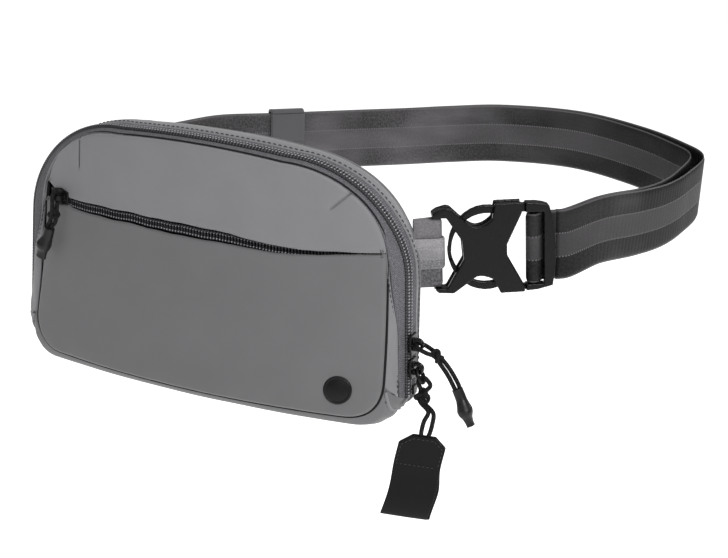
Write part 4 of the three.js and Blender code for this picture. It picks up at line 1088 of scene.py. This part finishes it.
# ---- sliders, ring and buckle: the frame's shapes with their edges moulded over ----
for node, body in (("lower_slider", "lower_slider"), ("upper_slider", "upper_slider"),
                   ("pocket_slider", "pocket_slider"), ("zip_end_stop", "back")):
    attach(refined(node, "slider_metal", 0.22, 3, 0.12), body)
for node, body in (("buckle_socket", "back"), ("buckle_plug", "buckle_plug"),
                   ("buckle_arm_upper", "arm_upper"), ("buckle_arm_lower", "arm_lower")):
    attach(refined(node, "buckle_plastic", 0.4, 10), body)


# ---- pulls ----
def frame_matrix(x, y, z, at):
    return Matrix.Translation(at) @ Matrix((x, y, z)).transposed().to_4x4()


# The zip's right leg: out to the side, back along the pulls' hinge, and up the sliders' run.
LEG = (Vector((0.99897, 0, 0.04535)), Vector((-0.00405, 0.99601, 0.08912)),
       Vector((-0.04517, -0.08921, 0.99499)))
LOWER_PIVOT = Vector((117.145, -6.068, -40.732))
UPPER_PIVOT = Vector((116.532, -7.279, -27.232))
POCKET_PIVOT = Vector((-89.986, -33.760, 23.0))
RING_TILT, UPPER_LEAN = 0.42, 1.17
CORD = 2.4


def leaned(pivot, angle):
    return frame_matrix(*LEG, pivot) @ Matrix.Rotation(-angle, 4, "Y")


RING_FRAME = leaned(LOWER_PIVOT, RING_TILT)
UPPER_FRAME = leaned(UPPER_PIVOT, UPPER_LEAN)
TAB_DOWN = Vector((-0.17, 0, -1)).normalized()
TAB_OUT = Vector((0.3, -0.954, 0))
TAB_OUT = (TAB_OUT - TAB_DOWN * TAB_OUT.dot(TAB_DOWN)).normalized()
TAB_ACROSS = TAB_DOWN.cross(TAB_OUT).normalized()
TAB_FRAME = frame_matrix(TAB_ACROSS, TAB_OUT, TAB_ACROSS.cross(TAB_OUT), Vector((125, -8, -76.4)))


def rope(name, line, slot="cord", radius=CORD / 2, sides=12):
    """A cord as a capped tube along the line. U runs along it in metres and V round it."""
    line = [Vector(p) for p in line]
    radii = [radius] * len(line)
    rows = tube_rows(line, radii, sides)
    run = run_along(line) * MM
    uvs = [(u, k / sides) for u in run for k in range(sides)]
    return outward(grid(name, rows, slot, closed=True, uvs=uvs, cap=True), line[len(line) // 2])


def knot(name, at, axis, across, size, body, nodes, turns=(1.0, 1.0, 1.0)):
    """An overhand knot: a trefoil of cord drawn tight round the strands."""
    axis, across = Vector(axis).normalized(), Vector(across)
    across = (across - axis * across.dot(axis)).normalized()
    third = axis.cross(across)
    line = []
    for a in np.linspace(0, math.tau, 90, endpoint=False):
        u = math.sin(a) + 2 * math.sin(2 * a)
        v = math.cos(a) - 2 * math.cos(2 * a)
        w = -math.sin(3 * a)
        line.append(Vector(at) + across * u * size * turns[0] + axis * v * size * turns[1]
                    + third * w * size * 1.15 * turns[2])
    sides = 10
    rows = tube_rows(line + line[:1], CORD / 2 * 0.95, sides)
    uvs = [(i * 0.0009, k / sides) for i in range(len(rows)) for k in range(sides)]
    piece = outward(grid(name, rows, "cord", closed=True, uvs=uvs), at)
    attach(piece, body)
    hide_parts(*nodes)
    return piece


def shrunk_tube(name, start, end, wide, flat, body, nodes, profile):
    """A shrink tube over the cord's ends: square-cut, swollen over the end knot, pinched at its tip."""
    start, end = Vector(start), Vector(end)
    steps = 46
    along = (end - start).normalized()
    side = along.orthogonal().normalized() if abs(along.dot(Vector(wide))) > 0.98 else Vector(wide)
    side = (side - along * side.dot(along)).normalized()
    other = along.cross(side)
    mouth = [(0.07, 0.80), (0.0, 0.84), (-0.004, 0.93), (0.0, 1.0)]
    tip = [(1.003, 0.86), (0.985, 0.7)]
    ts = [t for t, _ in mouth] + list(np.linspace(0.015, 1.0, steps)) + [t for t, _ in tip]
    ks = [k for _, k in mouth] + [1.0] * steps + [k for _, k in tip]
    rows = []
    for t, k in zip(ts, ks):
        r = float(np.interp(t, [p[0] for p in profile], [p[1] for p in profile])) * k
        pinch = 1 - flat * smoothstep(t, 0.55, 1.0)
        centre = start.lerp(end, t) + side * 0.35 * math.sin(t * 7.0)
        row = []
        for a in np.linspace(0, math.tau, 24, endpoint=False):
            wrinkle = 1 + 0.03 * math.sin(3 * a + 9 * t)
            row.append(centre + side * r * math.cos(a) * wrinkle * (1 + 0.25 * (1 - pinch))
                       + other * r * math.sin(a) * pinch)
        rows.append(row)
    piece = grid(name, rows, "tube_rubber", closed=True, cap=True)
    outward(piece, (start + end) / 2)
    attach(piece, body)
    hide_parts(*nodes)
    return piece


def mm(points):
    return [tuple(Vector(p) * MM) for p in points]


def declare(line):
    length_of(line) * MM


# Lower pull: one cord through the ring, knotted, and both ends sewn into the tab.
LOWER_KNOT = RING_FRAME @ Vector((0, 0, -15.5)) + Vector((-3.4, 0, -1.2))


def on_tab(x, y, z):
    return TAB_FRAME @ Vector((x, y, z))


def on_ring(x, y, z):
    return RING_FRAME @ Vector((x, y, z))


lower_points = [on_tab(-1.45, 0, -2.2), on_tab(-2.2, 0, 2), on_tab(-2.3, 0.1, 8), on_tab(-1.35, 0, 14),
                LOWER_KNOT - TAB_ACROSS * 1.15 - Vector((0, 0, 3)), LOWER_KNOT + Vector((1.3, -0.6, 2.4)),
                on_ring(3.3, -0.2, -10.6), on_ring(2.8, 0, -7.6), on_ring(1.5, 0, -5.6),
                on_ring(-1.5, 0, -5.6), on_ring(-2.8, 0, -7.6), on_ring(-3.1, 0.2, -10.6),
                LOWER_KNOT + Vector((-1.3, 0.6, 2.4)), LOWER_KNOT + TAB_ACROSS * 1.15 - Vector((0, 0, 3)),
                on_tab(1.35, 0, 14), on_tab(2.3, -0.1, 8), on_tab(2.2, 0, 2), on_tab(1.45, 0, -2.2)]
lower_line = catmull(lower_points, 110)
lower_cord = rope("lower_pull_cord", lower_line)
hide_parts("lower_loop", "lower_cord")
lower_knot = knot("lower_pull_knot", LOWER_KNOT, TAB_DOWN, TAB_ACROSS, 1.25, "lower_pull",
                  ["lower_knot"])
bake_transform(lower_cord)
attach(refined("lower_ring", "slider_metal", 0.16, 2, 0.35), "lower_pull")


TAB_SKEW = 0.128  # the soft tab hangs askew: how far one side drops against its width


def pull_tab():
    """A strap folded at its foot and sewn to itself, with its upper corners cut off."""
    length, half, top_half, cut = 48, 12.5, 6.0, 5.5
    front_path = [(1.05, 0), (1.05, -6), (1.05, -17), (1.25, -22), (1.9, -30), (2.6, -38), (2.5, -44),
                  (1.6, -47.2), (0.2, -47.9), (-1.2, -47.0), (-2.0, -43), (-2.3, -36), (-1.8, -28),
                  (-1.2, -22), (-1.05, -17), (-1.05, -6), (-1.05, 0)]
    path = catmull([(0, y, z) for y, z in front_path], 120)
    rows, uvs, run = [], [], 0.0
    for i, (_, y, z) in enumerate(path):
        wide = top_half + (half - top_half) * min(1.0, -z / cut) if z > -cut else half
        rear_shift = (-1.5 if y < 0 else 0) * smoothstep(-z, 18, 34)
        sway = -1.1 * math.sin(math.pi * smoothstep(-z, 12, 52)) + rear_shift
        row = []
        for u in np.linspace(-1, 1, 25):
            cup = 0.25 * (1 - u * u) * smoothstep(-z, 20, 40) * (1 if y > 0 else -1)
            row.append(TAB_FRAME @ Vector((u * wide + sway, y + cup, z - TAB_SKEW * u * wide)))
            uvs.append((run * MM, u * half * MM))
        rows.append(row)
        if i + 1 < len(path):
            run += math.dist(path[i], path[i + 1])
    piece = grid("pull_tab_strap", rows, "tab_plastic", uvs=uvs)
    outward(piece, TAB_FRAME @ Vector((0, 0, -24)))
    thickened(piece, 1.4, 0)
    bevel = piece.modifiers.new("edge", "BEVEL")
    bevel.width, bevel.segments = 0.3 * MM, 2
    bevel.limit_method, bevel.angle_limit = "ANGLE", math.radians(60)
    applied(piece)
    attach(piece, "lower_tab")
    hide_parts("pull_tab")
    inset = 1.5
    outline = [(-half + inset, -17), (-half + inset, -cut - 0.4), (-top_half + 0.4, -inset),
               (top_half - 0.4, -inset), (half - inset, -cut - 0.4), (half - inset, -17),
               (-half + inset, -17)]
    for label, y in (("front", 1.75), ("rear", -1.75)):
        line = [TAB_FRAME @ Vector((x, y, z - TAB_SKEW * x)) for x, z in outline]
        out = (TAB_OUT if y > 0 else -TAB_OUT)
        stitches(f"stitch_tab_{label}", line, [out] * len(line), "lower_tab", 2.4, 1.6, 0.2,
                 "tab_plastic")
    return piece


tab_strap = pull_tab()
declare(lower_line)

# Upper pull.
UPPER_TUBE = (Vector((140, -6, -47.2)), Vector((149.4, -6, -65.7)))
UPPER_KNOT = UPPER_FRAME @ Vector((0, 0, -12))
upper_dir = (UPPER_TUBE[0] - UPPER_KNOT).normalized()
upper_side = Vector((0, 1, 0))
tube_dir = (UPPER_TUBE[1] - UPPER_TUBE[0]).normalized()


def upper_point(share, side, spread, bow=0.0):
    middle = UPPER_KNOT.lerp(UPPER_TUBE[0], share)
    normal = upper_dir.cross(upper_side).normalized()
    return middle + upper_side * side * spread * 0.55 + normal * side * spread * 0.84 + normal * bow


def on_upper(x, y, z):
    return UPPER_FRAME @ Vector((x, y, z))


upper_points = [UPPER_TUBE[0] + tube_dir * 3 + upper_side * 1.1 - upper_dir.cross(upper_side) * 0.2,
                upper_point(1.0, 1, 1.25, 0.2), upper_point(0.6, 1, 1.3, 0.9),
                upper_point(0.25, 1, 1.25, 0.5), on_upper(0.3, 1.3, -11), on_upper(0, 3.2, -6.5),
                on_upper(0, 3.4, -2.6), on_upper(0, 1.8, 0.25), on_upper(0, -1.8, 0.25),
                on_upper(0, -3.4, -2.6), on_upper(0, -3.2, -6.5), on_upper(-0.3, -1.3, -11),
                upper_point(0.25, -1, 1.25, 0.5), upper_point(0.6, -1, 1.3, 0.9),
                upper_point(1.0, -1, 1.25, 0.2),
                UPPER_TUBE[0] + tube_dir * 3 - upper_side * 1.1 + upper_dir.cross(upper_side) * 0.2]
upper_line = catmull(upper_points, 110)
upper_cord = rope("upper_pull_cord", upper_line)
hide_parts("upper_loop", "upper_strands")
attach(upper_cord, "upper_pull")
upper_knot = knot("upper_pull_knot", UPPER_KNOT, upper_dir, (0, 1, 0), 1.05, "upper_pull",
                  ["upper_knot"], (1, 0.95, 1))
TUBE_PROFILE = [(0, 2.9), (0.3, 3.0), (0.42, 3.5), (0.56, 4.25), (0.66, 4.1), (0.78, 3.1), (0.9, 2.8),
                (1, 2.9)]
upper_tube = shrunk_tube("upper_shrink_tube", *UPPER_TUBE, (0, 1, 0), 0.3, "upper_pull", ["upper_tube"],
                         TUBE_PROFILE)
declare(upper_line)

# Pocket pull.
POCKET_TUBE = (POCKET_PIVOT + Vector((-3.6, -1.6, -17.6)), POCKET_PIVOT + Vector((-9.6, -1, -35.2)))
POCKET_KNOT = POCKET_PIVOT + Vector((-1, -2, -9))


def by_pocket(x, y, z):
    return POCKET_PIVOT + Vector((x, y, z))


pocket_points = [POCKET_TUBE[0] + Vector((0.6, 0, -3)), POCKET_TUBE[0] + Vector((1.3, 0, 1)),
                 by_pocket(-0.4, -1.4, -14), by_pocket(0.3, -1.2, -8.5), by_pocket(0, -0.5, -4.6),
                 by_pocket(0, 0.2, -2), by_pocket(0, 0.1, 1.4), by_pocket(0, -1.8, 3.7),
                 by_pocket(0, -4.3, 2.8), by_pocket(0, -5.2, 0), by_pocket(0, -4.9, -3),
                 by_pocket(-1.2, -3.6, -8.5), by_pocket(-3.3, -2.0, -14),
                 POCKET_TUBE[0] + Vector((-1.3, 0, 1)), POCKET_TUBE[0] + Vector((-1.8, 0, -3))]
pocket_line = catmull(pocket_points, 100)
pocket_cord = rope("pocket_pull_cord", pocket_line)
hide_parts("pocket_loop", "pocket_strands")
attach(pocket_cord, "pocket_pull")
pocket_knot = knot("pocket_pull_knot", POCKET_KNOT, (0.1, 0, -1), (1, 0.2, 0), 0.88, "pocket_pull",
                   ["pocket_knot"])
pocket_tube = shrunk_tube("pocket_shrink_tube", *POCKET_TUBE, (1, 0, 0), 0.3, "pocket_pull", ["pocket_tube"],
                          TUBE_PROFILE)
declare(pocket_line)

# ---- webbing ----
BUCKLE_AT = Vector((119, 18, 14.5))
ALONG = Vector((0.878, 0.467, 0.1045)).normalized()
OUT = Vector((0.469, -0.883, 0)).normalized()
UP = OUT.cross(ALONG).normalized()
BUCKLE = frame_matrix(ALONG, UP, OUT, BUCKLE_AT)
MID = 3.8


def strap(name, line, ups, width, thick, slot="webbing", look=None, wave=0.0, start=0.0):
    """Webbing along a line, with soft rounded selvages. U is metres along it and V is 0 to 1 across."""
    line = [Vector(p) for p in line]
    shares = np.concatenate([np.linspace(-1, 1, 19), np.linspace(1, -1, 19)])
    rows, uvs, run = [], [], start
    for i, at in enumerate(line):
        tangent = (line[min(i + 1, len(line) - 1)] - line[max(i - 1, 0)]).normalized()
        rise = Vector(ups(i)).normalized()
        face = tangent.cross(rise).normalized()
        rise = face.cross(tangent).normalized()
        row = []
        for k, share in enumerate(shares):
            face_side = 1 if k < 19 else -1
            edge = math.sqrt(max(0.0, 1 - max(0, (abs(share) - 0.965) / 0.035) ** 2))
            lift = wave * wobble(run, share * 12, 0, 38, width)
            off = face_side * thick / 2 * max(0.12, edge) + lift
            row.append(at + rise * share * width / 2 + face * off)
            uvs.append((run * MM, (share + 1) / 2))
        rows.append(row)
        if i + 1 < len(line):
            run += (line[i + 1] - at).length
    piece = grid(name, rows, slot, look, closed=True, uvs=uvs, cap=True)
    bm = bmesh.new()
    bm.from_mesh(piece.data)
    bmesh.ops.recalc_face_normals(bm, faces=bm.faces)
    bm.to_mesh(piece.data)
    bm.free()
    return piece


BAR_AT, BAR_WRAP = -5.5, 3.58  # the socket bar's place along the buckle, and the angle a tab goes round it


def round_bar(radius, start, end, count=40):
    """A side tab's line: from start, round the socket's bar, and back to end."""
    arc = [(BAR_AT + radius * math.cos(a), radius * math.sin(a))
           for a in np.linspace(math.pi / 2, math.pi / 2 - BAR_WRAP, count)]
    path = catmull([(x, 0, z) for x, z in [start, *arc, end]], count + 30)
    return [BUCKLE @ Vector((x, MID, z)) for x, _, z in path]


side_tab = strap("side_tab_webbing", round_bar(2.6, (-17.5, 2.2), (-17.5, 0.4)), lambda i: UP, 37.2, 1.3,
                 look="webbing_plain")
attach(side_tab, "back")
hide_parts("side_tab")
side_keeper = strap("side_tab_narrow", round_bar(4.1, (-17.5, 3.7), (-12.4, -2.2)), lambda i: UP, 16.5, 1.1,
                    look="webbing_narrow")
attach(side_keeper, "back")
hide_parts("side_tab_keeper")

# The roll's radius, the adjuster bar's place along the buckle, and the roll's end.
ROLL_RADIUS, ROLL_AT, ROLL_END = 3.2, 45.9, 59
roll_path = [(ROLL_END, -2.3), (51.6, -2.3), (50, -0.6)]
roll_path += [(ROLL_AT + ROLL_RADIUS * math.cos(a), ROLL_RADIUS * math.sin(a))
              for a in np.linspace(0.6, math.pi * 1.5, 36)]
roll_path += [(50, -4.6), (ROLL_END, -4.6)]
roll_line = catmull([(x, 0, z) for x, z in roll_path], 110)
roll = strap("belt_roll_webbing", [BUCKLE @ Vector((x, MID, z)) for x, _, z in roll_line], lambda i: UP,
             37.4, 1.4)
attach(roll, "buckle_plug")
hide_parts("belt_roll")

KEEPER_FROM, KEEPER_TO = Vector((0, 243.5, 27.3)), Vector((-94, 155, 21.8))
belt_points = [BUCKLE @ Vector((58.4, MID, -2.3)), BUCKLE @ Vector((63.5, MID, -2.6)), (185, 74, 29.3),
               (196, 116, 27), (202, 150, 25.6), (205, 184, 26.6), (203, 232, 28.4), (181, 269, 27.5),
               (149, 292, 29), (103, 302, 31.4), (52, 286, 31), (24, 265, 29.2),
               *[KEEPER_FROM.lerp(KEEPER_TO, share) for share in (0, 0.25, 0.5, 0.75, 1)],
               (-108, 132, 19), (-117, 112, 17), (-123, 80, 14.5), (-119, 41, 10), (-113.5, 22, 8),
               (-109.8, 10.4, 7)]
belt_line = catmull(belt_points, 900)
belt_length = length_of(belt_line)
belt_run = np.linspace(0, belt_length, 900)
WAIST = Vector((45, 150, 0))
TAIL_END, TAIL_FLAT = 612, 495  # the tail's length, and where it lies flat on the belt again
TAIL_GAP, TAIL_BOW = 2.3, 6.5  # how far the tail lies inside the belt, and how much more at its slackest
SPLIT = 205
BELT_WIDE, BELT_THICK = 38, 1.5


def belt_at(d, offset=0.0):
    at = Vector([np.interp(d, belt_run, belt_line[:, k]) for k in range(3)])
    ahead, behind = (Vector([np.interp(min(max(d + e, 0), belt_length), belt_run, belt_line[:, k])
                             for k in range(3)]) for e in (1.5, -1.5))
    tangent = (ahead - behind).normalized()
    inward = Vector((-tangent.y, tangent.x, 0)).normalized()
    if inward.dot(WAIST - at) < 0:
        inward.negate()
    return at + inward * offset


def tail_offset(d):
    return TAIL_GAP + TAIL_BOW * math.sin(math.pi * min(1, d / TAIL_FLAT)) ** 2


def belt_up(d):
    return UP.lerp(Vector((0, 0, 1)), min(1, d / 36))


def belt_piece(name, low, high, offset, nodes, moves):
    ds = np.linspace(low, high, int((high - low) / 2.2))
    line = [belt_at(d, offset(d)) for d in ds]
    piece = strap(name, line, lambda i: belt_up(ds[i]), BELT_WIDE, BELT_THICK, wave=0.25, start=low)
    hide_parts(*nodes)
    if moves:
        near, far = belt_at(0), belt_at(SPLIT)
        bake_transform(piece)
    else:
        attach(piece, "back")
    return piece


belt_piece("belt_front_webbing", 0, SPLIT, lambda d: 0, ["belt_front", "belt_right"], True)
belt_piece("belt_rear_webbing", SPLIT, belt_length, lambda d: 0,
           ["belt_rear", "belt_keeper_run", "belt_left"], False)
belt_piece("tail_front_webbing", 0, SPLIT, tail_offset, ["tail_front", "tail_right"], True)
belt_piece("tail_rear_webbing", SPLIT, TAIL_END, tail_offset, ["tail_rear", "tail_end"], False)

# Keeper: a sleeve of twill folded round both layers, its end lapped and sewn.
keeper_in = Vector((0.6855, -0.7281, 0)).normalized()
keeper_along = (KEEPER_TO - KEEPER_FROM).normalized()
keeper_up = keeper_along.cross(keeper_in).normalized()
KEEPER = frame_matrix(keeper_in, keeper_up, keeper_in.cross(keeper_up), KEEPER_FROM.lerp(KEEPER_TO, 0.65))


KEEPER_POINTS = 13  # across the keeper's width


def keeper_loop(name, low, high, half_up, corner, from_a=0.0, to_a=1.0, width=22, thick=1.3):
    mid, half = (low + high) / 2, (high - low) / 2
    ring = []
    for cx, cy, a0 in ((1, 1, 0), (-1, 1, 90), (-1, -1, 180), (1, -1, 270)):
        for a in np.radians(np.linspace(a0, a0 + 90, 9)):
            ring.append((mid + cx * (half - corner) + corner * math.cos(a),
                         cy * (half_up - corner) + corner * math.sin(a), 0))
    path = spaced(ring + ring[:1], 160)
    path = path[int(from_a * 159):int(to_a * 159) + 1]
    rows, uvs, run = [], [], 0.0
    for i, (x, y, _) in enumerate(path):
        across = np.linspace(-width / 2, width / 2, KEEPER_POINTS)
        rows.append([KEEPER @ Vector((x, y, w)) for w in across])
        uvs += [(run * MM, w * MM) for w in across]
        if i + 1 < len(path):
            run += math.dist(path[i][:2], path[i + 1][:2])
    piece = grid(name, rows, "webbing", "keeper", uvs=uvs)
    outward(piece, KEEPER @ Vector((mid, 0, 0)))
    thickened(piece, thick, 0)
    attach(piece, "keeper")
    return piece


LOOKS["keeper"] = woven("keeper_twill", (0.070, 0.068, 0.073), thread=0.0012, roughness=0.7, depth=0.0002)
keeper = keeper_loop("keeper_sleeve", -2.1, 4.4, 20.8, 1.9)
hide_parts("keeper")
keeper_loop("keeper_lap", -3.1, 5.4, 21.7, 2.4, 0.82, 0.995, 22.4, 0.9)


# ---- set ----
FLOOR_GLOW = (0.25, 0.8)  # the floor's own light, in front of the bag and behind it


def make_set():
    world = bpy.data.worlds.new("studio")
    world.use_nodes = True
    world.node_tree.nodes["Background"].inputs[0].default_value = (1, 1, 1, 1)
    world.node_tree.nodes["Background"].inputs[1].default_value = 0.2
    scene.world = world
    bpy.ops.mesh.primitive_plane_add(size=30, location=(0, 0, -0.3))
    floor = bpy.context.object
    floor.name = "floor"
    look = Nodes("floor_white", (0.93, 0.93, 0.93), 0.9, Emission_Strength=1.0)
    back = look.node("SeparateXYZ", {0: look.coords("Object")}).outputs[1]
    rise = look.node("MapRange", {0: back, 1: -0.5, 2: 0.15, 3: 0.0, 4: 1.0}).outputs[0]
    look.set("Emission Color", look.ramp(rise, [(0.0, FLOOR_GLOW[0]), (1.0, FLOOR_GLOW[1])]))
    floor.data.materials.append(look.material)
    for name, at, size, power in (("key", (1.3, -1.2, 1.1), 0.8, 30), ("fill", (-1.2, -1.2, 0.9), 0.9, 3),
                                  ("top", (0.1, 0.2, 1.6), 1.1, 10), ("rear", (0.9, 1.6, 0.9), 0.8, 7)):
        data = bpy.data.lights.new(name, "AREA")
        data.size, data.energy = size, power
        light = bpy.data.objects.new(name, data)
        light.location = at
        light.rotation_mode = "QUATERNION"
        light.rotation_quaternion = (Vector((0.05, 0.1, 0)) - Vector(at)).to_track_quat("-Z", "Y")
        scene.collection.objects.link(light)


make_set()
